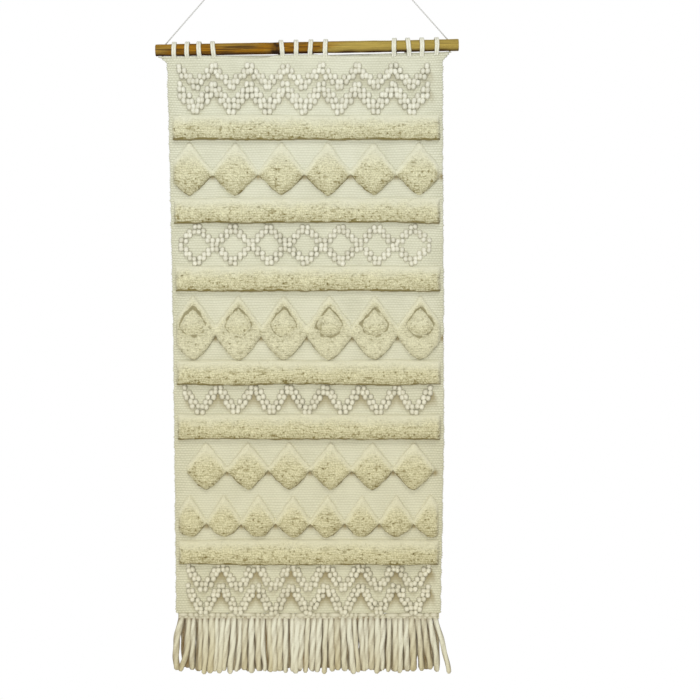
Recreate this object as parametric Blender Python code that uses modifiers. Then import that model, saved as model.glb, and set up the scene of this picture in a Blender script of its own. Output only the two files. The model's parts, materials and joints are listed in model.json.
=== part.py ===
"""Hand-woven tapestry wall hanging: a cotton panel with bead and cut-pile patterns, slung by twelve
warp loops from a wooden dowel, on a cord that hangs over one wall screw.

Units are metres, +Z is up and +Y points into the wall. The origin is where the screw enters the wall.
"""

import math

import bmesh
import bpy
from mathutils import Matrix, Vector

# ---- driving dimensions ---------------------------------------------------------------------------
GAP = 0.0004                 # space kept between two pieces that touch

CORD_RADIUS = 0.001
SCREW_RADIUS = 0.00275
SCREW_HEAD_RADIUS = 0.0058
SCREW_FRONT_Y = -0.025       # front of the head
SCREW_TIP_Y = 0.029          # point of the thread, inside the wall
CORD_ON_SCREW_Y = -0.004     # where the cord crosses the screw

DOWEL_RADIUS = 0.0092
DOWEL_ENDS = (-0.2272, 0.2274)
DOWEL_AXIS_Y = -0.0125
DOWEL_Z = -0.24525           # height of the axis below the screw
DOWEL_TILT = math.radians(1.02)

PANEL_TOP_Z = -0.258         # every depth below is measured down from here
PANEL_HEIGHT = 0.836
CLOTH_THICKNESS = 0.0045
CLOTH_BACK_Y = -0.0103
CLOTH_FRONT_Y = CLOTH_BACK_Y - CLOTH_THICKNESS
TOP_EDGE_DEPTHS = (0.0018, -0.0028)   # the top edge follows the dowel, left end to right end
LEFT_EDGE = ((-0.01, -0.2100), (0.1, -0.2070), (0.4, -0.2005), (0.84, -0.1960))    # depth, x
RIGHT_EDGE = ((-0.01, 0.2030), (0.4, 0.2045), (0.64, 0.2050), (0.84, 0.2000))      # depth, x
FOLD_DEPTHS = (0.3563, 0.5768)
FOLD_GAP = 0.0006

BEAD_THICKNESS = 0.005
BEAD_RIBBON = 0.014          # a bead line's size up and down the cloth
PILE_THICKNESS = 0.0115
BAND_HEIGHT = 0.0390
BAND_DEPTHS = (0.0885, 0.2130, 0.3150, 0.4560, 0.5370, 0.7250)
BAND_MARGIN = 0.0045         # plain cloth left beside a pile band

LOOP_WIDTH = 0.0068
LOOP_THICKNESS = 0.0025
LOOP_CLEARANCE = 0.0005      # between a loop and the dowel that turns in it
LOOP_PLACES = (-0.1995, -0.1795, -0.1620, -0.1416, -0.0390, -0.0165, 0.0057, 0.0278,
               0.1311, 0.1511, 0.1724, 0.1944)

HEM_HEIGHT = 0.0070
HEM_THICKNESS = 0.0080
FRINGE_TOP_DROP = 0.0045     # from the hem down to the fringe's own top
FRINGE_LENGTH = 0.0820
FRINGE_THICKNESS = 0.0060
FRINGE_BUNDLES = 15
FRINGE_SPLAY = (0.0060, 0.0205)   # how far the left and right ends spread past the cloth

COTTON = (0.79, 0.77, 0.70)
PILE_COTTON = (0.80, 0.76, 0.63)
BEAD_COTTON = (0.86, 0.84, 0.78)
WOOD = (0.42, 0.25, 0.10)
CORD_GREY = (0.62, 0.62, 0.60)
STEEL = (0.60, 0.58, 0.54)


# ---- the collection and the materials -------------------------------------------------------------
def clear_scene():
    for obj in list(bpy.data.objects):
        bpy.data.objects.remove(obj, do_unlink=True)


def part_collection(name):
    collection = bpy.data.collections.new(name)
    bpy.context.scene.collection.children.link(collection)
    return collection


def finish_material(name, colour, roughness, metallic=0.0):
    material = bpy.data.materials.new(name)
    material.use_nodes = True
    shader = material.node_tree.nodes["Principled BSDF"]
    shader.inputs["Base Color"].default_value = (*colour, 1.0)
    shader.inputs["Roughness"].default_value = roughness
    shader.inputs["Metallic"].default_value = metallic
    return material


def place(name, data, finish, matrix=None):
    """One named object with its own material, linked to the part's collection."""
    colour, roughness, metallic = finish
    obj = bpy.data.objects.new(name, data)
    data.materials.clear()
    data.materials.append(finish_material(name + "_finish", colour, roughness, metallic))
    PART.objects.link(obj)
    if matrix is not None:
        obj.matrix_world = matrix
    return obj


# ---- shapes ---------------------------------------------------------------------------------------
def between(stations, depth):
    """Straight-line reading of a list of (depth, x) stations."""
    for (d0, x0), (d1, x1) in zip(stations, stations[1:]):
        if depth <= d1:
            return x0 + (x1 - x0) * (depth - d0) / (d1 - d0)
    return stations[-1][1]


def smooth_route(points, longest_step, most_turn):
    """A Catmull-Rom curve through the given points, read at longer steps where it runs straight."""
    knots = [points[0] * 2 - points[1], *points, points[-1] * 2 - points[-2]]
    fine = []
    for a, b, c, d in zip(knots, knots[1:], knots[2:], knots[3:]):
        for i in range(24):
            t = i / 24
            fine.append(0.5 * (2 * b + (c - a) * t + (2 * a - 5 * b + 4 * c - d) * t ** 2
                               + (3 * b - a - 3 * c + d) * t ** 3))
    fine.append(points[-1].copy())
    route, heading = [fine[0]], fine[1] - fine[0]
    for p, q in zip(fine[1:], fine[2:]):
        far_enough = (p - route[-1]).length > longest_step
        if far_enough or (q - p).angle(heading) > most_turn:
            route.append(p)
            heading = q - p
    return [*route, fine[-1]]


def tube(name, points, radius, finish):
    curve = bpy.data.curves.new(name, "CURVE")
    curve.dimensions = "3D"
    curve.bevel_depth = radius
    curve.bevel_resolution = 2
    curve.use_fill_caps = True
    spline = curve.splines.new("POLY")
    spline.points.add(len(points) - 1)
    for point, at in zip(spline.points, points):
        point.co = (*at, 1.0)
    return place(name, curve, finish)


def flat_shape(name, outlines, front_y, thickness, finish):
    """A plate in the cloth's plane. Each outline is a list of (x, depth); those inside it are holes."""
    curve = bpy.data.curves.new(name, "CURVE")
    curve.dimensions = "2D"
    curve.fill_mode = "BOTH"
    curve.extrude = thickness / 2
    for outline in outlines:
        spline = curve.splines.new("POLY")
        spline.use_cyclic_u = True
        spline.points.add(len(outline) - 1)
        for point, (x, depth) in zip(spline.points, outline):
            point.co = (x, PANEL_TOP_Z - depth, 0.0, 1.0)
    middle_y = front_y + thickness / 2
    stand_up = Matrix.Translation((0, middle_y, 0)) @ Matrix.Rotation(math.radians(90), 4, "X")
    return place(name, curve, finish, stand_up)


def block(name, corners, finish, bevel=0.0):
    """A straight bar between two opposite corners, with rounded edges."""
    low, high = (Vector(c) for c in corners)
    mesh = bpy.data.meshes.new(name)
    solid = bmesh.new()
    bmesh.ops.create_cube(solid, size=1.0)
    size = high - low
    bmesh.ops.scale(solid, vec=size, verts=solid.verts)
    solid.to_mesh(mesh)
    solid.free()
    obj = place(name, mesh, finish, Matrix.Translation((low + high) / 2))
    if bevel:
        rounding = obj.modifiers.new("rounding", "BEVEL")
        rounding.width = bevel
        rounding.segments = 2
    return obj


def turned(name, profile, steps, finish, matrix):
    """A round piece about its own Z. The profile is (radius, z) from top to bottom."""
    mesh = bpy.data.meshes.new(name)
    mesh.from_pydata([(r, 0.0, z) for r, z in profile], [(i, i + 1) for i in range(len(profile) - 1)], [])
    obj = place(name, mesh, finish, matrix)
    screw = obj.modifiers.new("turning", "SCREW")
    screw.axis = "Z"
    screw.steps = screw.render_steps = steps
    screw.use_merge_vertices = True
    screw.merge_threshold = 0.00001
    screw.use_smooth_shade = True
    return obj


# ---- the pieces -----------------------------------------------------------------------------------
SOFT = (COTTON, 0.9, 0.0)
PILE = (PILE_COTTON, 0.95, 0.0)
BEADS = (BEAD_COTTON, 0.9, 0.0)


def dowel_height(x):
    return DOWEL_Z + math.tan(DOWEL_TILT) * x


def make_wall_screw():
    """Round-head screw lying along Y: domed head, plain neck, and a thread that ends in a point."""
    length = SCREW_TIP_Y - SCREW_FRONT_Y
    r, head = SCREW_RADIUS, SCREW_HEAD_RADIUS
    profile = [(0.0, length), (head * 0.55, length - 0.0006), (head * 0.9, length - 0.0018),
               (head, length - 0.0032), (head, length - 0.0040), (r, length - 0.0044),
               (r, 0.0080), (0.0, 0.0)]
    lie_down = Matrix.Translation((0, SCREW_TIP_Y, 0)) @ Matrix.Rotation(math.radians(90), 4, "X")
    return turned("wall_screw", profile, 16, (STEEL, 0.35, 1.0), lie_down)


def cord_route():
    """From the left knot, up behind the dowel, over the screw and down to the right knot."""
    around_screw = SCREW_RADIUS + GAP + CORD_RADIUS
    around_dowel = DOWEL_RADIUS + 2 * GAP + CORD_RADIUS

    def round_the_dowel(x, angle):
        """A point beside the dowel: 0 degrees is straight behind it, 90 is straight under it."""
        a = math.radians(angle)
        return Vector((x, DOWEL_AXIS_Y + around_dowel * math.cos(a),
                       dowel_height(x) - around_dowel * math.sin(a)))

    left = [round_the_dowel(x, a) for x, a in
            ((-0.2152, 74), (-0.2169, 52), (-0.2188, 30), (-0.2203, 8), (-0.2204, -14))]
    right = [round_the_dowel(x, a) for x, a in
             ((0.2182, -14), (0.2182, 8), (0.2169, 30), (0.2146, 52), (0.2119, 74))]
    left[-1].y = right[0].y = DOWEL_AXIS_Y + around_dowel
    over = [Vector((around_screw * math.sin(math.radians(a)), CORD_ON_SCREW_Y,
                    around_screw * math.cos(math.radians(a)))) for a in (-47, -25, 0, 25, 47)]
    up = [left[-1].lerp(over[0], t) for t in (0.02, 0.07, 0.2, 0.5, 0.8, 0.93, 0.98)]
    down = [over[-1].lerp(right[0], t) for t in (0.02, 0.07, 0.2, 0.5, 0.8, 0.93, 0.98)]
    return [*left, *up, *over, *down, *right]


def make_cord_and_knots():
    route = smooth_route(cord_route(), longest_step=0.0125, most_turn=math.radians(13))
    grey = (CORD_GREY, 0.85, 0.0)
    tube("hanging_cord", route, CORD_RADIUS, grey)
    for name, end, before in (("knot_left", route[0], route[1]), ("knot_right", route[-1], route[-2])):
        knot_radius = 0.0021
        centre = end + (end - before).normalized() * (knot_radius + GAP)
        centre.z = min(centre.z, dowel_height(centre.x) - DOWEL_RADIUS - knot_radius - GAP)
        mesh = bpy.data.meshes.new(name)
        solid = bmesh.new()
        bmesh.ops.create_uvsphere(solid, u_segments=10, v_segments=6, radius=knot_radius)
        solid.to_mesh(mesh)
        solid.free()
        place(name, mesh, grey, Matrix.Translation(centre))


def make_dowel():
    left, right = DOWEL_ENDS
    half = (right - left) / 2 / math.cos(DOWEL_TILT)
    r, edge = DOWEL_RADIUS, 0.0012
    profile = [(0.0, half), (r - edge, half), (r, half - edge), (r, 0.0), (r, edge - half),
               (r - edge, -half), (0.0, -half)]
    middle = (left + right) / 2
    along_x = Matrix.Rotation(math.radians(90) - DOWEL_TILT, 4, "Y")
    at = Matrix.Translation((middle, DOWEL_AXIS_Y, dowel_height(middle)))
    return turned("dowel", profile, 24, (WOOD, 0.6, 0.0), at @ along_x)


def top_edge_height(x):
    left, right = between(LEFT_EDGE, 0.0), between(RIGHT_EDGE, 0.0)
    share = (x - left) / (right - left)
    return PANEL_TOP_Z - TOP_EDGE_DEPTHS[0] - (TOP_EDGE_DEPTHS[1] - TOP_EDGE_DEPTHS[0]) * share


def arc(radius, first, last, steps=14):
    """Points (y, z) on a circle about the dowel's axis. 0 degrees is straight behind it, 90 is on top."""
    angles = [math.radians(first + (last - first) * i / steps) for i in range(steps + 1)]
    return [(radius * math.cos(a), radius * math.sin(a)) for a in angles]


def make_loops():
    """Each loop is a flat band of yarn over the dowel, with both feet on the cloth's top edge."""
    inner = DOWEL_RADIUS + LOOP_CLEARANCE
    outer = inner + LOOP_THICKNESS
    for number, x in enumerate(LOOP_PLACES, 1):
        foot = min(top_edge_height(x + s * LOOP_WIDTH / 2) for s in (-1, 1)) + 2 * GAP - dowel_height(x)
        outer_end = min(65.0, math.degrees(math.asin(min(1.0, -foot / outer))))
        outer_foot = max(0.0050, outer * math.cos(math.radians(outer_end)) - 0.0004)
        outline = [*arc(outer, -outer_end + 1.0, 179.0 + outer_end), (-outer_foot, foot), (-0.0022, foot),
                   *arc(inner, 240.0, -60.0), (0.0022, foot), (outer_foot, foot)]
        curve = bpy.data.curves.new(f"loop_{number:02d}", "CURVE")
        curve.dimensions = "2D"
        curve.fill_mode = "BOTH"
        curve.extrude = LOOP_WIDTH / 2
        spline = curve.splines.new("POLY")
        spline.use_cyclic_u = True
        spline.points.add(len(outline) - 1)
        for point, (y, z) in zip(spline.points, outline):
            point.co = (y, z, 0.0, 1.0)
        across_dowel = Matrix(((0, 0, 1, x), (1, 0, 0, DOWEL_AXIS_Y), (0, 1, 0, dowel_height(x)),
                               (0, 0, 0, 1)))
        place(curve.name, curve, SOFT, across_dowel)


def make_cloth():
    starts = (0.0, *(d + FOLD_GAP / 2 for d in FOLD_DEPTHS))
    ends = (*(d - FOLD_GAP / 2 for d in FOLD_DEPTHS), PANEL_HEIGHT)
    for name, top, bottom in zip(("ground_upper", "ground_middle", "ground_lower"), starts, ends):
        inner = [d for d, _ in LEFT_EDGE[1:-1] if top < d < bottom]
        left_top, right_top = TOP_EDGE_DEPTHS if top == 0.0 else (top, top)
        left = [(between(LEFT_EDGE, d), d) for d in (left_top, *inner, bottom)]
        inner = [d for d, _ in RIGHT_EDGE[1:-1] if top < d < bottom]
        right = [(between(RIGHT_EDGE, d), d) for d in (bottom, *inner[::-1], right_top)]
        flat_shape(name, [left + right], CLOTH_FRONT_Y, CLOTH_THICKNESS, SOFT)


def zigzag(first_peak, pitch, top, height, turns=14):
    """Centre line of a bead line: it starts and ends half a turn outside the first and last peak."""
    rise = height - BEAD_RIBBON
    start = first_peak - pitch
    return [(start + pitch / 2 * i, top + BEAD_RIBBON / 2 + rise * (i % 2)) for i in range(turns + 1)]


def make_bead_line(name, line):
    half = BEAD_RIBBON / 2
    outline = [(x, d - half) for x, d in line] + [(x, d + half) for x, d in reversed(line)]
    flat_shape(name, [outline], CLOTH_FRONT_Y - GAP - BEAD_THICKNESS, BEAD_THICKNESS, BEADS)


def make_bead_lines():
    make_bead_line("beads_top_first", zigzag(-0.1403, 0.0540, 0.0090, 0.0420))
    make_bead_line("beads_top_second", zigzag(-0.1403, 0.0540, 0.0405, 0.0435))
    make_bead_line("beads_middle", zigzag(-0.1335, 0.0536, 0.4957, 0.0406))
    make_bead_line("beads_bottom_first", zigzag(-0.1290, 0.0524, 0.7646, 0.0380))
    make_bead_line("beads_bottom_second", zigzag(-0.1290, 0.0524, 0.7925, 0.0425))


def make_bead_chain():
    """Seven open diamonds of beads, joined at their side corners."""
    first, pitch, top, bottom = -0.1650, 0.0540, 0.2526, 0.3144
    middle = (top + bottom) / 2
    neck = BEAD_RIBBON / 2
    xs = [first + pitch * (i / 2 - 0.5) for i in range(15)]
    upper = [(x, middle - neck if i % 2 == 0 else top) for i, x in enumerate(xs)]
    lower = [(x, middle + neck if i % 2 == 0 else bottom) for i, x in enumerate(xs)]
    holes = []
    for x in xs[1::2]:
        half_w, half_h = pitch / 2 - 0.0095, (bottom - top) / 2 - BEAD_RIBBON * 0.85
        holes.append([(x - half_w, middle), (x, middle - half_h), (x + half_w, middle),
                      (x, middle + half_h)])
    flat_shape("beads_diamond_chain", [upper + lower[::-1], *holes],
               CLOTH_FRONT_Y - GAP - BEAD_THICKNESS, BEAD_THICKNESS, BEADS)


def make_pile_bands():
    front = CLOTH_FRONT_Y - GAP
    for number, top in enumerate(BAND_DEPTHS, 1):
        bottom = top + BAND_HEIGHT
        left = max(between(LEFT_EDGE, top), between(LEFT_EDGE, bottom)) + BAND_MARGIN
        right = min(between(RIGHT_EDGE, top), between(RIGHT_EDGE, bottom)) - BAND_MARGIN
        block(f"pile_band_{number}", ((left, front - PILE_THICKNESS, PANEL_TOP_Z - bottom),
                                      (right, front, PANEL_TOP_Z - top)), PILE, bevel=0.0035)


def diamond_row(name, first, pitch, count, top, shoulder, bottom, left_end, right_end):
    """Solid pile diamonds in a row, joined by short necks at their side corners."""
    neck = 0.003
    upper, lower = [(left_end, shoulder - neck)], [(left_end, shoulder + neck)]
    for i in range(count):
        x = first + pitch * i
        upper.append((x, top))
        lower.append((x, bottom))
        side = x + pitch / 2 if i < count - 1 else right_end
        upper.append((side, shoulder - neck))
        lower.append((side, shoulder + neck))
    front = CLOTH_FRONT_Y - GAP
    flat_shape(name, [upper + lower[::-1]], front - PILE_THICKNESS, PILE_THICKNESS, PILE)


def make_pile_diamonds():
    diamond_row("pile_diamonds_upper", -0.1745, 0.0695, 6, 0.1290, 0.1755, 0.2120, -0.2025, 0.2000)
    diamond_row("pile_diamonds_middle", -0.1509, 0.0622, 6, 0.5785, 0.6195, 0.6530, -0.1825, 0.1930)
    diamond_row("pile_diamonds_lower", -0.1761, 0.0517, 8, 0.6575, 0.6990, 0.7240, -0.1945, 0.1990)


def make_lattice():
    """A row of open diamonds of pile with a solid pile dot inside each one."""
    first, pitch, count, top, shoulder, bottom = -0.1710, 0.0682, 6, 0.3585, 0.4155, 0.4545
    neck, arm, heavy_arm = 0.0070, 0.0150, 0.0260
    upper, lower, holes = [], [], []
    front = CLOTH_FRONT_Y - GAP
    for i in range(count):
        x = first + pitch * i
        left = x - pitch / 2 if i else between(LEFT_EDGE, shoulder) + BAND_MARGIN / 2
        upper += [(left, shoulder - neck), (x, top)]
        lower += [(left, shoulder + neck), (x, bottom)]
        inner_top, inner_bottom = top + arm * 1.15, bottom - heavy_arm
        half = pitch / 2 - 0.0115
        if i:
            holes.append([(x - half, shoulder - 0.006), (x, inner_top), (x + half, shoulder - 0.006),
                          (x, inner_bottom)])
        else:
            holes.append([(x - 0.0175, shoulder - 0.006), (x, inner_top), (x + half, shoulder - 0.006),
                          (x, inner_bottom)])
    last = min(first + pitch * (count - 0.5), between(RIGHT_EDGE, shoulder) - BAND_MARGIN / 2)
    upper.append((last, shoulder - neck))
    lower.append((last, shoulder + neck))
    flat_shape("lattice_outline", [upper + lower[::-1], *holes], front - PILE_THICKNESS,
               PILE_THICKNESS, PILE)
    for i in range(count):
        x, middle = first + pitch * i, (top + arm * 1.15 + bottom - heavy_arm) / 2
        half_w, half_h = (0.0105, 0.0135) if i == 0 else (0.0130, 0.0140)
        dot = [(x - half_w, middle), (x, middle - half_h), (x + half_w, middle), (x, middle + half_h)]
        flat_shape(f"lattice_dot_{i + 1}", [dot], front - PILE_THICKNESS, PILE_THICKNESS, PILE)


def make_hem_and_fringe():
    top = PANEL_HEIGHT + GAP
    bottom = top + HEM_HEIGHT
    left, right = between(LEFT_EDGE, top) + 0.002, between(RIGHT_EDGE, top) - 0.001
    cloth_y = CLOTH_BACK_Y - CLOTH_THICKNESS / 2
    block("hem_braid", ((left, cloth_y - HEM_THICKNESS / 2, PANEL_TOP_Z - bottom),
                        (right, cloth_y + HEM_THICKNESS / 2, PANEL_TOP_Z - top)), BEADS, bevel=0.0025)
    fringe_top = bottom + FRINGE_TOP_DROP
    fringe_end = fringe_top + FRINGE_LENGTH - FRINGE_TOP_DROP
    pitch = (right - left) / FRINGE_BUNDLES
    centre = (left + right) / 2
    stretch_left = 1 + FRINGE_SPLAY[0] / (centre - left)
    stretch_right = 1 + FRINGE_SPLAY[1] / (right - centre)
    for number in range(FRINGE_BUNDLES):
        x0, x1 = left + pitch * number + GAP / 2, left + pitch * (number + 1) - GAP / 2
        low = [centre + (x - centre) * (stretch_left if x < centre else stretch_right) for x in (x0, x1)]
        mid = (fringe_top + fringe_end) / 2
        middle = [(x + y) / 2 for x, y in zip((x0, x1), low)]
        notch = (low[0] + low[1]) / 2
        outline = [(x0, fringe_top), (middle[0], mid), (low[0], fringe_end - 0.002), (notch, fringe_end),
                   (low[1] - GAP, fringe_end - 0.003), (middle[1] - GAP / 2, mid), (x1, fringe_top)]
        flat_shape(f"fringe_{number + 1:02d}", [outline], cloth_y - FRINGE_THICKNESS / 2 - 0.001,
                   FRINGE_THICKNESS / 2, BEADS)
    outline = [(left, fringe_top), (left, fringe_end - 0.004), (right, fringe_end - 0.004),
               (right, fringe_top)]
    flat_shape("fringe_back", [outline], cloth_y - 0.001 + GAP, FRINGE_THICKNESS / 2, BEADS)


clear_scene()
PART = part_collection("tapestry_wall_hanging")
make_wall_screw()
make_cord_and_knots()
make_dowel()
make_loops()
make_cloth()
make_bead_lines()
make_bead_chain()
make_pile_bands()
make_pile_diamonds()
make_lattice()
make_hem_and_fringe()
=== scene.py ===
"""The looks of a hand-woven tapestry wall hanging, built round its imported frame.

Laid out as an add-on and run as a script. Every piece is a surface worked out with numpy in the frame's own
place, in metres: the woven cloth with its weft ribs, the cut pile with its tufts, the bead loops, the fringe,
the dowel and the string. The cloth hangs in the XZ plane with its pattern towards -Y, and a "depth" is a
distance down from the cloth's top line.
"""

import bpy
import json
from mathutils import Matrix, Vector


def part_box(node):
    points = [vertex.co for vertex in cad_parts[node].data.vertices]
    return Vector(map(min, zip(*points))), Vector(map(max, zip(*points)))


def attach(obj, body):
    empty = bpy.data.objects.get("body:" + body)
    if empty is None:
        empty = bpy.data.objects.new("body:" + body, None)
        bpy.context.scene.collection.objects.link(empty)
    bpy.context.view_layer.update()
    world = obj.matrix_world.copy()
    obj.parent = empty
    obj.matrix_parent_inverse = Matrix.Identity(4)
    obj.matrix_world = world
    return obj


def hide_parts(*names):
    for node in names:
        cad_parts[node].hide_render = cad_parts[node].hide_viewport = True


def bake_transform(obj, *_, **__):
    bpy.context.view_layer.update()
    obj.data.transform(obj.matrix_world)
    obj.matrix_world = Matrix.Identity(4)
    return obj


bl_info = {
    "name": "Woven wall hanging",
    "version": (1, 0, 0),
    "blender": (4, 5, 0),
    "location": "View3D > Sidebar > Hanging",
    "description": "Builds the cloth, pile, beads, fringe, wood and string of a wall hanging round its frame",
    "category": "Object",
}

import json
import math

import bpy
import numpy as np

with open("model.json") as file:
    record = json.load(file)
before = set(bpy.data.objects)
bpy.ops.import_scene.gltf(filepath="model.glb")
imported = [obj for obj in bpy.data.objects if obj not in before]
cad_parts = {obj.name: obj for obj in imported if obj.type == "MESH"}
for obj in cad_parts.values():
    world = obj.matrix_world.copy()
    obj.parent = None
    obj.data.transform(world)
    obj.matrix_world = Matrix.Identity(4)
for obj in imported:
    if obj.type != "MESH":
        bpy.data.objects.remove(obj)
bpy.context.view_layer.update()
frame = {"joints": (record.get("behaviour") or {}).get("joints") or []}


# ---- places read from the frame -------------------------------------------------------------------
def node_box(name):
    """Lowest and highest corner of a CAD node as arrays."""
    low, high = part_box(name)
    return np.array(low), np.array(high)


TOP_RISE = 0.0028                     # the cloth's right top corner above its top line
CLOTH_LOW, CLOTH_HIGH = node_box("ground_upper")
MIDDLE_LOW, MIDDLE_HIGH = node_box("ground_middle")
LOWER_LOW, LOWER_HIGH = node_box("ground_lower")
HEM_LOW, HEM_HIGH = node_box("hem_braid")
DOWEL_LOW, DOWEL_HIGH = node_box("dowel")
SCREW_LOW, SCREW_HIGH = node_box("wall_screw")
CLOTH_TOP = CLOTH_HIGH[2] - TOP_RISE
CLOTH_FRONT, CLOTH_BACK = CLOTH_LOW[1], CLOTH_HIGH[1]
CLOTH_MIDDLE = (CLOTH_FRONT + CLOTH_BACK) / 2
FOLDS = tuple(CLOTH_TOP - (a[2] + b[2]) / 2 for a, b in ((CLOTH_LOW, MIDDLE_HIGH), (MIDDLE_LOW, LOWER_HIGH)))
CLOTH_END = CLOTH_TOP - LOWER_LOW[2]
EDGE_DEPTHS = (0.0, FOLDS[0], FOLDS[1], CLOTH_END)
LEFT_EDGE = (CLOTH_LOW[0], MIDDLE_LOW[0], LOWER_LOW[0], HEM_LOW[0] - 0.002)
RIGHT_EDGE = (CLOTH_HIGH[0] - 0.0012, MIDDLE_HIGH[0] - 0.0004, LOWER_HIGH[0], HEM_HIGH[0] + 0.001)
PILE_FRONT = node_box("pile_band_1")[0][1]
PILE_BACK = node_box("pile_band_1")[1][1]
HINGES = {j["name"]: j for j in frame["joints"]}
DOWEL_AXIS_Y, DOWEL_AXIS_Z = HINGES["dowel_turn"]["pos_m"][1:]
DOWEL_SLOPE = HINGES["dowel_turn"]["axis"][2] / HINGES["dowel_turn"]["axis"][0]
DOWEL_RADIUS = (DOWEL_HIGH[1] - DOWEL_LOW[1]) / 2
BEND_REACH = 0.010                    # how far a fold's bend spreads each way along the cloth


def node_depths(name):
    """(left x, top depth), (right x, bottom depth) of a CAD node."""
    low, high = node_box(name)
    return (low[0], CLOTH_TOP - high[2]), (high[0], CLOTH_TOP - low[2])


def left_edge(depth):
    """The cloth's left edge as x, at a depth."""
    return np.interp(depth, EDGE_DEPTHS, LEFT_EDGE)


def right_edge(depth):
    """The cloth's right edge as x, at a depth."""
    return np.interp(depth, EDGE_DEPTHS, RIGHT_EDGE)


def dowel_height(x):
    """Height of the dowel's axis at x. Its left end hangs a little lower."""
    return DOWEL_AXIS_Z + DOWEL_SLOPE * x


# ---- settings -------------------------------------------------------------------------------------
def tint(red, green, blue):
    """A colour as it looks on screen, from 0 to 1, as the linear colour that a shader takes."""
    return tuple(c / 12.92 if c <= 0.04045 else ((c + 0.055) / 1.055) ** 2.4 for c in (red, green, blue))


def size(name, description, default):
    return real(name, description, default, unit="LENGTH", precision=4)


def colour(name, description, default):
    return bpy.props.FloatVectorProperty(name=name, description=description, default=default, size=3,
                                         subtype="COLOR", min=0.0, max=1.0)


def real(name, description, default, **limits):
    return bpy.props.FloatProperty(name=name, description=description, default=default, **limits)


def integer(name, description, default):
    return bpy.props.IntProperty(name=name, description=description, default=default, min=2)


class HangingClothSettings(bpy.types.PropertyGroup):
    rib_pitch: size("Rib pitch", "Height of one row of weft", 0.0037)
    rib_relief: size("Rib relief", "How far a weft row stands out", 0.00055)
    warp_pitch: size("Warp pitch", "Distance between two warps", 0.0046)
    swell: size("Swell", "Slow unevenness of the hand-woven cloth", 0.0012)
    colour: colour("Yarn", "Undyed cotton of the ground", tint(0.862, 0.864, 0.782))
    shade_colour: colour("Between rows", "Tone between two rows of weft", tint(0.745, 0.742, 0.640))


class HangingPileSettings(bpy.types.PropertyGroup):
    tuft_width: size("Tuft width", "Width of one cut tuft", 0.0034)
    tuft_relief: size("Tuft relief", "How far tufts stand apart in height", 0.0016)
    grid: size("Grid", "Spacing of the surface's points", 0.00075)
    droop: real("Droop", "How far the pile leans down for its height", 0.16, min=0.0, max=1.0)
    colour: colour("Tips", "Creamy cotton where the light falls", tint(0.895, 0.886, 0.750))
    # painted light: the pale tone where the light falls on each upper edge
    pale_colour: colour("Upper edge", "Smooth cotton of each upper edge", tint(0.885, 0.882, 0.785))
    shade_colour: colour("Roots", "Deeper tone between the tufts", tint(0.500, 0.455, 0.255))


class HangingBeadSettings(bpy.types.PropertyGroup):
    width: size("Bead width", "Width of one yarn loop", 0.0083)
    spacing: size("Bead spacing", "Distance between two loops in a row", 0.0064)
    relief: size("Bead relief", "How far a loop stands out", 0.0046)
    colour: colour("Yarn", "Bright cotton of the bead loops", tint(0.915, 0.912, 0.845))
    shade_colour: colour("Crevices", "Tone at the foot of each loop", tint(0.590, 0.565, 0.435))


class HangingFringeSettings(bpy.types.PropertyGroup):
    front_count: integer("Front strands", "Strands in front", 45)
    back_count: integer("Back strands", "Strands behind", 50)
    radius: size("Strand radius", "Half the thickness of one strand", 0.0044)
    colour: colour("Yarn", "Cotton at the top of the strands", tint(0.905, 0.912, 0.850))
    tip_colour: colour("Tips", "Warmer tone towards the cut ends", tint(0.795, 0.765, 0.625))
    shade_colour: colour("Gaps", "Tone between the plies and between strands", tint(0.450, 0.355, 0.170))


class HangingDowelSettings(bpy.types.PropertyGroup):
    lumps: size("Lumps", "Unevenness of the bare stick", 0.00032)
    dark: colour("Dark grain", "Dark streaks", tint(0.215, 0.110, 0.008))
    brown: colour("Brown", "The stick's darker half", tint(0.620, 0.430, 0.030))
    tan: colour("Tan", "The stick's lighter half", tint(0.700, 0.610, 0.300))


class HangingStringSettings(bpy.types.PropertyGroup):
    diameter: size("String diameter", "Across both plies", 0.0020)
    lay: size("Lay", "Length of one turn of the twist", 0.0062)
    colour: colour("String", "Thin grey-white string", tint(0.900, 0.900, 0.885))
    steel: colour("Screw", "Zinc-plated steel", tint(0.740, 0.730, 0.700))


class HangingStageSettings(bpy.types.PropertyGroup):
    view_width: size("View width", "Width that the camera sees at the cloth", 1.05)
    lens: real("Lens", "Focal length in millimetres", 100.0)
    key_power: real("Key light", "Watts of the light above", 40.0)
    front_power: real("Front light", "Watts of the light in front", 44.0)
    surround: real("Surround", "Light from the white room", 0.50)


SETTINGS = {
    "hanging_cloth": HangingClothSettings,
    "hanging_pile": HangingPileSettings,
    "hanging_beads": HangingBeadSettings,
    "hanging_fringe": HangingFringeSettings,
    "hanging_dowel": HangingDowelSettings,
    "hanging_string": HangingStringSettings,
    "hanging_stage": HangingStageSettings,
}


# ---- numbers that repeat --------------------------------------------------------------------------
def hashed(i, j, seed):
    """A repeatable number from 0 to 1 for each pair of whole numbers, mixed from their bits."""
    h = (np.asarray(i).astype(np.int64) * 374761393 + np.asarray(j).astype(np.int64) * 668265263
         + seed * 982451653) & 0xFFFFFFFF
    h = ((h ^ (h >> 13)) * 1274126177) & 0xFFFFFFFF
    return ((h ^ (h >> 16)) & 0xFFFFFF) / float(0x1000000)


def noise(x, y, seed):
    """Smooth noise from -1 to 1: a number at each whole point, joined by 3t^2 - 2t^3 both ways."""
    i, j = np.floor(x), np.floor(y)
    u, v = x - i, y - j
    u, v = u * u * (3 - 2 * u), v * v * (3 - 2 * v)
    low = hashed(i, j, seed) * (1 - u) + hashed(i + 1, j, seed) * u
    high = hashed(i, j + 1, seed) * (1 - u) + hashed(i + 1, j + 1, seed) * u
    return (low * (1 - v) + high * v) * 2 - 1


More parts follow.
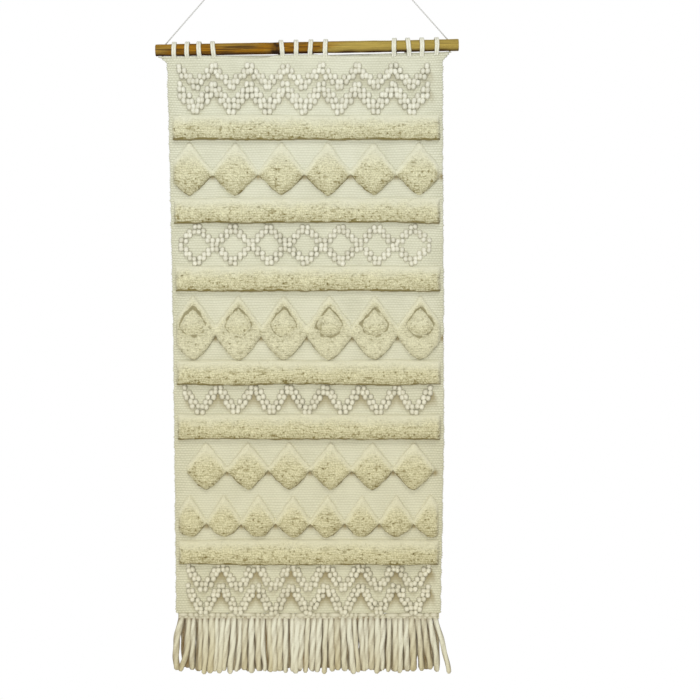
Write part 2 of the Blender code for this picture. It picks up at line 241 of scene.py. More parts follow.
def cells(x, y, seed, jitter=0.85):
    """For each point, the distances to the nearest and the next of the jittered centres of a unit grid, and
    the nearest centre's own number."""
    i, j = np.floor(x), np.floor(y)
    first = np.full(np.shape(x), 9.0)
    second, mark = first.copy(), np.zeros(np.shape(x))
    for a in (-1, 0, 1):
        for b in (-1, 0, 1):
            cx, cy = i + a, j + b
            away = np.hypot(x - cx - 0.5 - jitter * (hashed(cx, cy, seed) - 0.5),
                            y - cy - 0.5 - jitter * (hashed(cx, cy, seed + 1) - 0.5))
            near = away < first
            second = np.where(near, first, np.minimum(second, away))
            mark = np.where(near, hashed(cx, cy, seed + 2), mark)
            first = np.minimum(first, away)
    return first, second, mark


def round_angles(count):
    """Angles spaced evenly round a full turn."""
    return np.arange(count) / count * 2 * math.pi


def off_peak(x, first, pitch):
    """0 at each peak of a zigzag, 1 in each valley and straight between: 2 |t - round t|, where t counts
    pitches from the first peak."""
    t = (x - first) / pitch
    return np.abs(t - np.round(t)) * 2


def smooth(t):
    """3t^2 - 2t^3 between 0 and 1."""
    t = np.clip(t, 0, 1)
    return t * t * (3 - 2 * t)


def crown(inside, radius):
    """A quarter circle: 0 at the edge, 1 from one radius inside it."""
    t = 1 - np.clip(inside / radius, 0, 1)
    return np.sqrt(np.clip(1 - t * t, 0, 1))


# ---- meshes ---------------------------------------------------------------------------------------
def build_mesh(name, points, quads, triangles, values=None):
    """A smooth-shaded mesh from whole arrays. values are float attributes, one number a point."""
    mesh = bpy.data.meshes.new(name)
    mesh.vertices.add(len(points))
    mesh.vertices.foreach_set("co", np.ascontiguousarray(points, np.float32).ravel())
    corners = np.concatenate([quads.ravel(), triangles.ravel()]).astype(np.int32)
    mesh.loops.add(len(corners))
    mesh.loops.foreach_set("vertex_index", corners)
    starts = np.concatenate([np.arange(len(quads)) * 4, quads.size + np.arange(len(triangles)) * 3])
    mesh.polygons.add(len(starts))
    mesh.polygons.foreach_set("loop_start", starts.astype(np.int32))
    mesh.update(calc_edges=True)
    mesh.validate()
    for key, numbers in (values or {}).items():
        layer = mesh.attributes.new(key, "FLOAT", "POINT")
        layer.data.foreach_set("value", numbers.astype(np.float32).ravel())
    mesh.shade_smooth()
    obj = bpy.data.objects.new(name, mesh)
    bpy.context.scene.collection.objects.link(obj)
    return obj


def wrapped(name, rings, starts=None, ends=None, values=None):
    """Closed skins. rings has the shape (skins, rings, points round, 3), and each skin is closed by a pole at
    each end: the mean of its end ring unless it is given. The points run round so that faces look out when
    the next ring is on the side that (point x next point) turns from."""
    skins, rows, around, _ = rings.shape
    starts = rings[:, 0].mean(1) if starts is None else starts
    ends = rings[:, -1].mean(1) if ends is None else ends
    per = rows * around + 2
    points = np.concatenate([rings.reshape(skins, -1, 3), starts[:, None], ends[:, None]], 1)
    r, c = np.meshgrid(np.arange(rows - 1), np.arange(around), indexing="ij")
    n = (c + 1) % around
    quads = np.stack([r * around + c, r * around + n, (r + 1) * around + n, (r + 1) * around + c], -1)
    k = np.arange(around)
    m = (k + 1) % around
    fans = np.concatenate([np.stack([np.full(around, per - 2), m, k], -1),
                           np.stack([np.full(around, per - 1), (rows - 1) * around + k,
                                     (rows - 1) * around + m], -1)])
    shift = np.arange(skins)[:, None, None] * per
    quads = (quads.reshape(1, -1, 4) + shift).reshape(-1, 4)
    fans = (fans[None] + shift).reshape(-1, 3)
    spread = {}
    for key, numbers in (values or {}).items():
        numbers = np.broadcast_to(numbers, (skins, rows, around)).astype(float)
        spread[key] = np.concatenate([numbers.reshape(skins, -1), numbers[:, 0].mean(1)[:, None],
                                      numbers[:, -1].mean(1)[:, None]], 1)
    return build_mesh(name, points.reshape(-1, 3), quads, fans, spread)


def frames_along(path):
    """Unit tangents of a path, shape (..., n, 3), by central differences."""
    t = np.gradient(path, axis=-2)
    return t / np.linalg.norm(t, axis=-1, keepdims=True)


def tube_rings(path, side, radius_side, radius_out, around, lobes=0, depth=0.0, turns=0.0):
    """Rings along paths of shape (skins, n, 3). Each ring is an ellipse across the tangent: radius_side along
    the given side direction and radius_out across it, times 1 + depth cos(lobes a - turns), where turns is an
    angle that may change along the path."""
    tangent = frames_along(path)
    side = np.broadcast_to(side, path.shape)
    side = side - tangent * (side * tangent).sum(-1, keepdims=True)
    side = side / np.linalg.norm(side, axis=-1, keepdims=True)
    out = np.cross(tangent, side)
    a = round_angles(around)
    swell = 1 + depth * np.cos(lobes * a - np.asarray(turns)[..., None])
    swell = np.broadcast_to(swell, (*path.shape[:-1], around))
    across = np.broadcast_to(np.asarray(radius_side)[..., None], swell.shape) * np.cos(a) * swell
    along = np.broadcast_to(np.asarray(radius_out)[..., None], swell.shape) * np.sin(a) * swell
    return path[..., None, :] + across[..., None] * side[..., None, :] + along[..., None] * out[..., None, :]


# ---- shader arithmetic ----------------------------------------------------------------------------
class Value:
    """A shader output that arithmetic can be written with. Each sum adds a Math node."""

    def __init__(self, finish, socket):
        self.finish, self.socket = finish, socket

    def math(self, operation, a, b=None):
        return self.finish.node("ShaderNodeMath", {"operation": operation}, {0: a, 1: b})

    def __add__(self, other):
        return self.math("ADD", self, other)

    def __sub__(self, other):
        return self.math("SUBTRACT", self, other)

    def __rsub__(self, other):
        return self.math("SUBTRACT", other, self)

    def __mul__(self, other):
        return self.math("MULTIPLY", self, other)

    def __truediv__(self, other):
        return self.math("DIVIDE", self, other)

    def __pow__(self, other):
        return self.math("POWER", self, other)

    __radd__, __rmul__ = __add__, __mul__


DEEPER_BETWEEN = (-0.30, -1.02)         # heights at which the cotton starts to grow warmer and deeper, and is fully so
DEEPER_TONE = (0.930, 0.890, 0.800)     # what the full change towards the foot leaves of each colour


class Finish:
    """A material in the making, round its own Principled shader."""

    def __init__(self, name, **constants):
        self.material = bpy.data.materials.new(name)
        self.material.use_nodes = True
        self.nodes, self.links = self.material.node_tree.nodes, self.material.node_tree.links
        self.shader = self.nodes["Principled BSDF"]
        for key, value in constants.items():
            self.shader.inputs[key.replace("_", " ")].default_value = value

    def put(self, socket, value):
        if isinstance(value, Value):
            self.links.new(value.socket, socket)
        elif value is not None:
            socket.default_value = (*value, 1.0) if socket.type == "RGBA" and len(value) == 3 else value

    def node(self, kind, settings=None, inputs=None, output=0):
        """Adds a node: its settings first, then the values or links of its sockets."""
        made = self.nodes.new(kind)
        for key, value in (settings or {}).items():
            if key == "stops":
                ramp = made.color_ramp.elements
                for k, (place, shade) in enumerate(value):
                    stop = ramp[k] if k < 2 else ramp.new(place)
                    stop.position, stop.color = place, (*shade, 1.0)
            else:
                setattr(made, key, value)
        for key, value in (inputs or {}).items():
            self.put(made.inputs[key], value)
        return Value(self, made.outputs[output])

    def place(self, scale=(1, 1, 1)):
        """Object coordinates, stretched."""
        here = self.node("ShaderNodeTexCoord", output="Object")
        return self.node("ShaderNodeMapping", {}, {"Vector": here, "Scale": scale})

    def noise(self, scale, detail=2.0, roughness=0.5, at=None):
        return self.node("ShaderNodeTexNoise", {}, {"Vector": at or self.place(), "Scale": scale,
                                                    "Detail": detail, "Roughness": roughness})

    def attribute(self, name):
        return self.node("ShaderNodeAttribute", {"attribute_name": name}, output="Fac")

    def mix(self, share, a, b, blend="MIX"):
        return self.node("ShaderNodeMix", {"data_type": "RGBA", "blend_type": blend, "clamp_factor": True},
                         {0: share, 6: a, 7: b}, output=2)

    def deepen_towards_foot(self, base):
        """Cotton is warmer and deeper towards the foot of the hanging."""
        low = self.span(self.along(2), *DEEPER_BETWEEN, curve="SMOOTHSTEP")
        return self.mix(low, base, DEEPER_TONE, "MULTIPLY")

    def along(self, axis):
        """The place along X, Y or Z, numbered from 0."""
        return self.node("ShaderNodeSeparateXYZ", {}, {0: self.place()}, axis)

    def span(self, value, start, end, low=0.0, high=1.0, curve="LINEAR"):
        """Runs from low to high while the value runs from start to end."""
        return self.node("ShaderNodeMapRange", {"interpolation_type": curve},
                         {0: value, 1: start, 2: end, 3: low, 4: high})

    def bump(self, height, strength, distance, normal=None):
        return self.node("ShaderNodeBump", {}, {"Height": height, "Strength": strength,
                                                "Distance": distance, "Normal": normal})

    def finish(self, **varying):
        for key, value in varying.items():
            self.put(self.shader.inputs[key.replace("_", " ")], value)
        return self.material


def yarn_finish(name, light, shade, fibre=(1.0, 1.0, 1.0), bump=0.35, mottle=0.10, fade=None, speckle=0.0):
    """Soft spun cotton: the tone attribute runs from shade in the crevices to light on the crowns, slow
    mottling varies it, and fine stretched noise gives the fibres. fade holds the pair of colours that the
    piece has where its fade attribute is 0, and speckle adds the grain of cut ends."""
    made = Finish(name, Roughness=0.95, Sheen_Weight=0.20, Sheen_Roughness=0.6, Specular_IOR_Level=0.12)
    tone = made.attribute("tone")
    slow = made.noise(26.0, 3.0)
    fuzz = made.noise(900.0, 2.0, 0.6, made.place(fibre))
    share = tone + (slow - 0.5) * (mottle * 4.0) + (fuzz - 0.5) * 0.35
    if speckle:
        share = share + (made.noise(540.0, 3.0, 0.7, made.place((0.6, 1.0, 1.0))) - 0.5) * speckle
    if fade:
        full = made.attribute("fade")
        light, shade = made.mix(full, fade[0], light), made.mix(full, fade[1], shade)
    base = made.deepen_towards_foot(made.mix(share, shade, light))
    rough = made.noise(2600.0, 2.0, 0.6, made.place(fibre))
    normal = made.bump(fuzz * 0.6 + rough * 0.4, bump, 0.0006)
    return made.finish(Base_Color=base, Normal=normal)


def cloth_finish(settings):
    """The ground's plain weave. row counts the weft rows down the cloth, so frac(row) goes once over a rib.
    Each rib is a sine hump that the warps nip in turn: cos(2 pi (x / warp + floor(row) / 2)). Both its tone
    and its bump come from that hump; the tone is painted shade, darker in the grooves between the ribs."""
    made = Finish("ground_cotton", Roughness=0.95, Sheen_Weight=0.20, Sheen_Roughness=0.6,
                  Specular_IOR_Level=0.12)
    row = made.attribute("row")
    whole = row.math("FLOOR", row)
    rib = row.math("SINE", (row - whole) * math.pi)
    wander = made.noise(70.0, 2.0)
    turn = (made.along(0) / settings.warp_pitch + whole * 0.5 + wander * 1.6) * (2 * math.pi)
    nip = row.math("COSINE", turn) * 0.5 + 0.5
    hump = rib ** 0.6 * (nip * 0.30 + 0.70)
    slow, fuzz = made.noise(22.0, 3.0), made.noise(800.0, 2.0, 0.6, made.place((0.4, 1.0, 1.0)))
    side = made.attribute("side")
    # painted shade: darker in the grooves between weft rows, more so near the selvedges; the slow and fine
    # noise is the cotton's own uneven tone
    share = hump * 0.85 + 0.18 + (slow - 0.5) * 0.8 + (fuzz - 0.5) * 0.5 - side * (1.0 - hump) * 0.9
    base = made.mix(share, settings.shade_colour, settings.colour)
    # painted shade: a warm brown mixed into the cloth under the bead lines and in the hollows under the
    # diamonds' necks
    base = made.deepen_towards_foot(made.mix(made.attribute("stain"), base, tint(0.560, 0.500, 0.330)))
    normal = made.bump(fuzz, 0.35, 0.0006, made.bump(hump, 0.30, 0.0009))
    return made.finish(Base_Color=base, Normal=normal)


def wood_finish(dowel):
    """Bare stick: long grain streaks along X, brown at the left and tan at the right. The knot attribute is
    the dark patch by a knot, and the streak attribute darkens the stick along its length: painted shade
    along its underside, and a dark grain streak along the middle of its front, on its left part."""
    made = Finish("bare_wood", Roughness=0.70, Specular_IOR_Level=0.18)
    grain = made.noise(1.0, 5.0, 0.65, made.place((14.0, 520.0, 520.0)))
    streak = made.noise(1.0, 3.0, 0.55, made.place((7.0, 170.0, 170.0)))
    patch = made.noise(1.0, 3.0, 0.55, made.place((22.0, 70.0, 70.0)))
    across = made.span(made.along(0) + (patch - 0.5) * 0.12, -0.01, 0.07, curve="SMOOTHSTEP")
    brown = made.mix(made.span(patch, 0.46, 0.66, 0.0, 0.45), dowel.brown, dowel.tan)
    base = made.mix(across, brown, dowel.tan)
    lines = made.span(grain, 0.32, 0.55, 0.85, 0.0)
    base = made.mix(lines * (1.0 - across * 0.45), base, dowel.dark)
    bands = made.span(streak, 0.55, 0.66, 0.0, 0.75)
    base = made.mix(bands * (1.0 - across * 0.75), base, dowel.dark)
    # painted shade along the underside, together with a real dark grain streak along the front
    base = made.mix(made.attribute("streak") * (0.55 + grain), base, dowel.dark)
    base = made.mix(made.attribute("knot"), base, tuple(c * 0.25 for c in dowel.dark))
    return made.finish(Base_Color=base, Roughness=0.60 + grain * 0.25, Normal=made.bump(grain, 0.35, 0.0007))


def steel_finish(string):
    """Zinc plate, dulled in patches by slow noise."""
    made = Finish("zinc_steel", Metallic=1.0)
    wear = made.noise(420.0, 3.0)
    return made.finish(Base_Color=made.mix(wear, string.steel, tuple(c * 0.6 for c in string.steel)),
                       Roughness=0.28 + wear * 0.25, Normal=made.bump(wear, 0.1, 0.0003))


def dress(obj, material):
    """Gives a piece its material."""
    obj.data.materials.append(material)
    return obj


def ride_fold(obj, depths):
    """A piece rides on its own stretch of cloth; one that reaches a fold only has its transform applied."""
    bodies = ("panel_upper", "panel_middle", "panel_lower")
    top, bottom = depths
    for k, fold in enumerate(FOLDS):
        if top < fold + BEND_REACH and bottom > fold - BEND_REACH:
            start, end = ((0.0, CLOTH_MIDDLE, CLOTH_TOP - fold - s * BEND_REACH) for s in (-1, 1))
            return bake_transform(obj, bodies[k], bodies[k + 1], start=start, end=end)
    middle = (top + bottom) / 2
    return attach(obj, bodies[sum(middle > fold for fold in FOLDS)])


# ---- the cloth ------------------------------------------------------------------------------------
def cloth_swell(x, depth, settings):
    """Slow waves of a hand-woven cloth: two sizes of smooth noise."""
    return settings.swell * (noise(x / 0.085, depth / 0.060, 11) + 0.5 * noise(x / 0.030, depth / 0.024, 12))


def weft_rows(x, depth, settings):
    """The number of weft rows from the top, as a real number. Rows wander a little, as packed by hand."""
    wander = 0.0012 * noise(x / 0.055, depth / 0.020, 21) + 0.0005 * noise(x / 0.011, depth / 0.007, 22)
    return (depth + wander) / settings.rib_pitch


def weft_relief(x, depth, row):
    """Height of the weft: |sin|^0.7 of each row, uneven from row to row and along it, and fuller where the
    weft turns back at a selvedge."""
    k = np.floor(row)
    uneven = 0.65 + 0.6 * hashed(k, np.floor(x / 0.021 + 7 * hashed(k, k, 23)), 25)
    edge = 1 + 1.1 * np.exp(-np.minimum(x - left_edge(depth), right_edge(depth) - x) / 0.006)
    return np.abs(np.sin(math.pi * (row - k))) ** 0.7 * uneven * edge


# How far the cloth's top edge hangs below the dowel, along X: it is drawn up by each group of loops.
TOP_SAG = ((-0.212, 0.0006), (-0.150, 0.0001), (-0.125, 0.0006), (-0.108, 0.0030), (-0.080, 0.0054),
           (-0.058, 0.0034), (-0.045, 0.0006), (0.012, 0.0010), (0.040, 0.0034), (0.085, 0.0048),
           (0.130, 0.0040), (0.172, 0.0044), (0.205, 0.0012))
CORNER_REACH = 0.0085                 # how far the string's pull draws out each top corner


def top_line(x):
    """The cloth's top edge as a depth: the dowel's underside, plus the sag between the groups of loops."""
    under = CLOTH_TOP - dowel_height(x) + DOWEL_RADIUS
    places, sags = zip(*TOP_SAG)
    return under + np.interp(x, places, sags) + 0.0003 * noise(x / 0.006, 0, 35)


def arm_depth(x, first_peak, pitch, top, bottom):
    """Depth of a zigzag's line at x: a triangle wave from top at each peak to bottom at each valley."""
    return top + (bottom - top) * off_peak(x, first_peak, pitch)


def cloth_painted_shade(x, depth):
    """Painted shade, as a share from 0 to 1: just under each bead line, most of all under its peaks, and in
    the hollow under the neck between two diamonds."""
    stain = np.zeros_like(x)
    for _, _, first, pitch, _, _, top, bottom in BEAD_LINES:
        under = depth - arm_depth(x, first, pitch, top, bottom)
        peak = np.cos((x - first) / pitch * 2 * math.pi) * 0.5 + 0.5
        below = smooth((under - 0.002) / 0.006) * (1 - smooth((under - 0.011) / (0.006 + 0.014 * peak ** 2)))
        reach = smooth((x - first + pitch) / 0.01) * smooth((first + 6.2 * pitch - x) / 0.01)
        stain = np.maximum(stain, below * (0.25 + 0.60 * peak ** 2) * reach)
    stain = stain * (0.45 + 0.55 * smooth(depth / 0.75)) * 0.95
    necks = [(first, pitch, shoulder + neck) for _, first, pitch, shoulder, neck, _ in DIAMOND_ROWS]
    necks.append((LATTICE["first"], LATTICE["pitch"], LATTICE["shoulder"] + LATTICE["neck"]))
    for first, pitch, foot in necks:
        off = (x - first) / pitch - 0.5
        off = (off - np.clip(np.round(off), 0, 6)) * pitch
        hollow = np.exp(-(off / 0.0055) ** 2 - ((depth - foot - 0.0025) / 0.0050) ** 2)
        stain = np.maximum(stain, 0.95 * hollow)
    return stain


def cloth_length(name, top, bottom, settings, material):
    """One length of the cloth as a closed skin. Round the cloth, u goes along the front from the left
    selvedge to the right one and back behind. Down it, the depth goes from top to bottom. The thickness
    closes by a quarter circle towards each selvedge and the cloth's own ends, and the weft stands out on both
    sides. Where two lengths meet, each laps one row into the other, so that no groove shows."""
    lap = settings.rib_pitch / 5
    first, last = top <= 0, bottom >= CLOTH_END - 1e-6
    top, bottom = top - lap * (not first), bottom + lap * (not last)
    rows = int(round((bottom - top) / lap)) + 1
    edge = np.array([0, 0.0010, 0.0026, 0.0052, 0.0086, 0.0130, 0.0190])
    half = np.concatenate([edge, np.linspace(0.0280, 0.5, 46)])
    behind = np.concatenate([edge[1:], np.linspace(0.0300, 0.5, 24)])
    u = np.concatenate([half, 1 - half[-2::-1], 1 - behind, behind[-2::-1]])
    facing = np.concatenate([-np.ones(2 * len(half) - 1), np.ones(2 * len(behind) - 1)])
    facing[0] = facing[2 * len(half) - 2] = 0
    v, u = np.meshgrid(np.linspace(0, 1, rows), u, indexing="ij")
    facing = np.broadcast_to(facing, u.shape)
    depth = top + (bottom - top) * v
    left, right = left_edge(depth), right_edge(depth)
    x = left + (right - left) * u
    if top <= 0:
        corner = (1 - smooth(depth / 0.0125)) * (1 - smooth(np.minimum(u, 1 - u) * (right - left) / 0.030))
        x = x + np.sign(u - 0.5) * CORNER_REACH * corner
        depth = depth + top_line(x) * (1 - smooth(depth / 0.03))
    row = weft_rows(x, depth, settings)
    relief = weft_relief(x, depth, row)
    into = np.minimum(u, 1 - u) * (right - left)
    into_top, into_bottom = v * (bottom - top), (1 - v) * (bottom - top)
    into_end = np.minimum(into_top if first else 1.0, into_bottom if last else 1.0) + 0.0004
    met = crown(into_top + 0.0004 * first, lap) * crown(into_bottom + 0.0004 * last, lap)
    thick = (CLOTH_BACK - CLOTH_FRONT) / 2 - settings.rib_relief * 0.5
    body = thick * crown(into, 0.0024) * crown(into_end, 0.0022) * met
    close = crown(into_end, 0.0014) * met
    y = CLOTH_MIDDLE + facing * (body + settings.rib_relief * relief * crown(into + 0.0004, 0.002) * close)
    y = y - cloth_swell(x, depth, settings) * smooth(into / 0.02) * 0.8
    outward = np.sign(u - 0.5) * np.exp(-into / 0.0022)
    x = x + outward * (0.0009 * relief + 0.0006 * noise(depth / 0.009, 0, 31) - 0.0006)
    points = np.stack([x, y, CLOTH_TOP - depth], -1)
    # painted shade under the bead lines and the diamonds' necks, kept to the front face
    stain = cloth_painted_shade(x, depth) * (facing < 0)
    # side rises towards the selvedges, where it deepens the painted shade between the rows
    obj = wrapped(name, points[None], values={"row": row[None], "stain": stain[None],
                                              "side": np.exp(-into / 0.018)[None]})
    return dress(obj, material)


# ---- the pile -------------------------------------------------------------------------------------
PILE_ROOT = 0.0028                    # how deep a pile's edge goes into the cloth
PILE_MARGIN = 0.0022                  # how far a pile's surface goes past its CAD node
BAND_RISE, DIAMOND_RISE, DOT_RISE = 0.86, 0.72, 0.66    # share of the CAD pile's height that is filled


def pile_sheet(name, low, high, shape, pile, material, seed, rise):
    """Cut pile as a height over the cloth: front = pile height x the shape's height, with a dome for each
    tuft, a different length for each tuft, a groove between rows, thin cracks and a few deep pits. The
    surface leans down by droop x its height, which makes the lower edges hang over. Outside the shape it dips
    into the cloth, and a fan closes it behind. shape gives, for each point, its height from 0 to 1 and its
    distances inside the upper and the lower edge: tufts are smooth and pale at the upper edge, which is
    painted light, and dark under the lower, which is painted shade, as are the darker grooves, cracks and
    pits."""
    (x0, d0), (x1, d1) = low, high
    across, down = int((x1 - x0) / pile.grid) + 1, int((d1 - d0) / pile.grid) + 1
    x, depth = np.meshgrid(np.linspace(x0, x1, across), np.linspace(d0, d1, down))
    # fade is 0 at the upper edges, which are painted pale as if lit, and 1 where the full pile colour shows
    height, upper, lower, fade = shape(x, depth)
    full = (PILE_BACK - PILE_FRONT) * rise
    swollen = height * (1 + 0.10 * noise(x / 0.030, depth / 0.018, seed))
    lean = depth + pile.droop * full * height * 0.5 + 0.0015 * noise(x / 0.013, depth / 0.008, seed + 3)
    lean = lean + 0.0006 * noise(x / 0.0045, depth / 0.004, seed + 8)
    row = lean / (pile.tuft_width * 1.04)
    along = x / pile.tuft_width + 0.45 * noise(x / 0.009, depth / 0.006, seed + 1) + 0.5 * np.floor(row)
    near, far, mark = cells(along, row, seed + 2, 0.62)
    fine_near, _, fine_mark = cells(along * 2.3 + 5, row * 2.1, seed + 6)
    dome = 1 - np.clip(near / 0.74, 0, 1) ** 2
    split = smooth((far - near) / 0.28)
    patchy = smooth(noise(x / 0.016, depth / 0.0045, seed + 9) + 0.90)
    groove = 1 - patchy * (1 - np.abs(np.sin(math.pi * (row - 0.05))) ** 0.6)
    pit = (hashed(np.floor(mark * 4096), np.floor(mark * 977), seed + 5) > 0.965) * (1 - smooth(near / 0.55))
    rough = 0.60 + 0.40 * smooth((fade - 0.15) / 0.6)
    crack = smooth((noise(x / 0.0052, lean / 0.0021, seed + 14) - 0.52) / 0.22)
    crack = crack * smooth((upper - 0.004) / 0.008)
    tuft = (0.30 * dome * split + 0.28 * groove + 0.34 * (mark - 0.5)
            + 0.22 * (fine_mark - 0.5) * (1 - fine_near) - 0.40 * crack) * rough
    shown = smooth(height * 2.4)
    front = full * swollen + pile.tuft_relief * (tuft - 0.35 * rough) * shown
    front = front - pile.tuft_relief * 1.5 * pit * shown * rough
    inside, sunk = smooth(height * 9), -PILE_ROOT
    front = np.where(height > 0, sunk + (front - sunk) * inside, sunk)
    edge = np.ones_like(x, bool)
    edge[1:-1, 1:-1] = False
    front = np.where(edge, sunk, front)
    z = CLOTH_TOP - depth - pile.droop * full * height * inside
    points = np.stack([x, PILE_BACK - front, z], -1)
    # painted shade: tone is darker in the grooves, cracks and pits, and over the lower part of the pile
    tone = 0.66 + (0.26 * dome * split + 0.26 * groove + 0.14 * (mark - 0.5) + 0.24 * (fine_mark - 0.5) - 0.20
                   - 0.7 * pit - 0.34 * crack) * rough - 0.10 * fade
    tone = tone - 0.20 * smooth(1 - (lower - 0.004) / 0.014) * fade
    # painted shade: a dark line along each lower edge; painted light: a lighter upper edge
    line = 1 - smooth((lower - 0.0012 - 0.0016 * noise(x / 0.010, depth / 0.010, seed + 12)) / 0.0030)
    tone = tone + 0.30 * (1 - smooth(upper / 0.010)) - 1.05 * line
    i, j = np.meshgrid(np.arange(down - 1), np.arange(across - 1), indexing="ij")
    quads = np.stack([i * across + j, (i + 1) * across + j, (i + 1) * across + j + 1, i * across + j + 1], -1)
    number = np.arange(down * across).reshape(down, across)
    rim = np.concatenate([number[0, :-1], number[:-1, -1], number[-1, :0:-1], number[:0:-1, 0]])
    back = np.array([[(x0 + x1) / 2, PILE_BACK - sunk, CLOTH_TOP - (d0 + d1) / 2]])
    fan = np.stack([np.full(len(rim), down * across), rim, np.roll(rim, -1)], -1)
    obj = build_mesh(name, np.concatenate([points.reshape(-1, 3), back]), quads.reshape(-1, 4), fan,
                     {"tone": np.append(tone.ravel(), 0.5), "fade": np.append(fade.ravel(), 0.5)})
    return dress(obj, material)


def band_shape(low, high, seed):
    """A pillow with a slow rise at the top and a blunt lower edge, whose edges wander by a millimetre."""
    (x0, top), (x1, bottom) = low, high

    def shape(x, depth):
        upper = depth - top - 0.0012 * noise(x / 0.040, 0, seed)
        lower = bottom - 0.0012 + 0.0012 * noise(x / 0.045, 0, seed + 1)
        lower = lower + 0.0005 * noise(x / 0.007, 0, seed + 4) - depth
        ends = crown(x - x0 - 0.0010 * noise(depth / 0.006, 0, seed + 2), 0.0070)
        ends = ends * crown(x1 - x - 0.0010 * noise(depth / 0.006, 0, seed + 3), 0.0070)
        height = crown(upper, 0.0230) * crown(lower, 0.0062) * ends
        fade = smooth((upper + 0.0030 * noise(x / 0.012, depth / 0.008, seed + 5)) / 0.0210)
        return height, upper, lower, fade
    return shape


def wave(x, first, pitch):
    """1 over a diamond's middle, 0 at its side corners, with the tip a little rounded."""
    t = off_peak(x, first, pitch)
    return 1.06 - np.sqrt(t * t * 1.08 + 0.0036)


def diamond_shape(low, high, first, pitch, shoulder, neck, seed, round_tip, fade_from=0.04, fade_over=0.50,
                  foot=0.0018):
    """A row of solid diamonds. Their upper edges rise slowly out of the cloth. Their lower ones are blunt and
    follow 1 - t^round_tip, where t goes from 0 under a diamond's middle to 1 at its side corner."""
    (x0, top), (x1, bottom) = low, high
    end_left, end_right = x0 + 0.002, x1 - 0.002
    slope = 0.66

    def shape(x, depth):
        step = wave(x, first, pitch)
        wander = 0.0013 * noise(x / 0.012, depth / 0.012, seed)
        wander = wander + 0.0007 * noise(x / 0.004, depth / 0.004, seed + 1)
        upper = (depth - shoulder + neck + (shoulder - neck - top - 0.001) * step + wander) * slope
        t = off_peak(x, first, pitch)
        hang = 1 - (t * t + 0.004) ** (round_tip / 2)
        lower = (shoulder + neck + (bottom - foot - shoulder - neck) * hang - depth + wander) * slope
        ends = crown(x - end_left, 0.006) * crown(end_right - x, 0.006)
        height = crown(upper, 0.0200) * crown(lower, 0.0080) * ends
        down = (depth - top) / (bottom - top)
        return height, upper, lower + 0.0026, smooth((down - fade_from) / fade_over) * smooth(upper / 0.010)
    return shape


def eye_distance(x, depth, first, pitch, centre, half_width, rise, fall):
    """How far a point is outside the eye of each lattice cell. The eye is pointed above and round below: the
    power-1.2 sum of its two offsets above its centre and the power-1.9 sum under it, less one, times the
    half width."""
    off = np.abs(x - first - pitch * np.clip(np.round((x - first) / pitch), 0, 5)) / half_width
    power = np.where(depth < centre, 1.2, 1.9)
    tall = np.where(depth < centre, centre - depth, depth - centre) / np.where(depth < centre, rise, fall)
    return ((off ** power + tall ** power) ** (1 / power) - 1) * half_width


# Each row of diamonds: its CAD node, first middle (x), pitch, shoulder depth, half height of a neck, and how
# round its lower tips are.
DIAMOND_ROWS = (
    ("pile_diamonds_upper", -0.1765, 0.0690, 0.1755, 0.0030, 1.25),
    ("pile_diamonds_middle", -0.1509, 0.0622, 0.6195, 0.0030, 1.35),
    ("pile_diamonds_lower", -0.1761, 0.0517, 0.6990, 0.0030, 1.70),
)
LATTICE = {"first": -0.1710, "pitch": 0.0682, "shoulder": 0.4130, "neck": 0.0080}
EYE = {"centre": 0.4010, "half_width": 0.0195, "rise": 0.0235, "fall": 0.0185}


def lattice_shape(low, high):
    """The lattice: a row of diamonds with a crease round each eye. Above an eye the crease is the blunt lower
    edge of the arms. Below it, the pile rises slowly out of the crease."""
    outer = diamond_shape(low, high, **LATTICE, seed=97, round_tip=1.6, fade_from=-0.05, fade_over=0.25,
                          foot=-0.0015)

    def shape(x, depth):
        height, upper, lower, fade = outer(x, depth)
        gap = eye_distance(x, depth, LATTICE["first"], LATTICE["pitch"], **EYE)
        gap = gap + 0.0014 * noise(x / 0.008, depth / 0.008, 98)
        under = smooth((depth - EYE["centre"] + 0.003) / 0.010)
        apex = np.exp(-(np.abs(depth - EYE["centre"] + EYE["rise"] * 0.9) / 0.011) ** 2)
        shallow = np.clip(0.74 + 0.26 * noise(x / 0.011, depth / 0.011, 99) - 0.12 * apex, 0, 1)
        height = height * (shallow + (1 - shallow) * crown(gap - 0.0006, 0.0045 + 0.0080 * under))
        height = np.where(gap < -0.004, 0, height)
        patchy = 0.0018 * noise(x / 0.007, depth / 0.007, 95)
        # the painted dark line of a lower edge also runs along the crease round each eye
        lower = np.minimum(lower, np.abs(gap) + 0.0026 - 0.0020 * apex + patchy + 0.0004 * under)
        return height, upper, lower, np.minimum(fade, 0.60 + 0.3 * smooth(gap / 0.02) * (1 - under))
    return shape


def dot_shape(middle):
    """The round dot in one eye, which rises slowly at its top and is blunt under it."""
    def shape(x, depth):
        inside = 0.0006 - eye_distance(x, depth, middle, 1.0, **EYE)
        inside = inside + 0.0012 * noise(x / 0.009, depth / 0.009, 96)
        under = smooth((depth - EYE["centre"] + 0.003) / 0.010)
        height = crown(inside - 0.0002, 0.0085 - 0.0030 * under)
        return height, inside + 0.004, inside + 0.0022 + 0.003 * (1 - under), 0.55 + 0.25 * under
    return shape


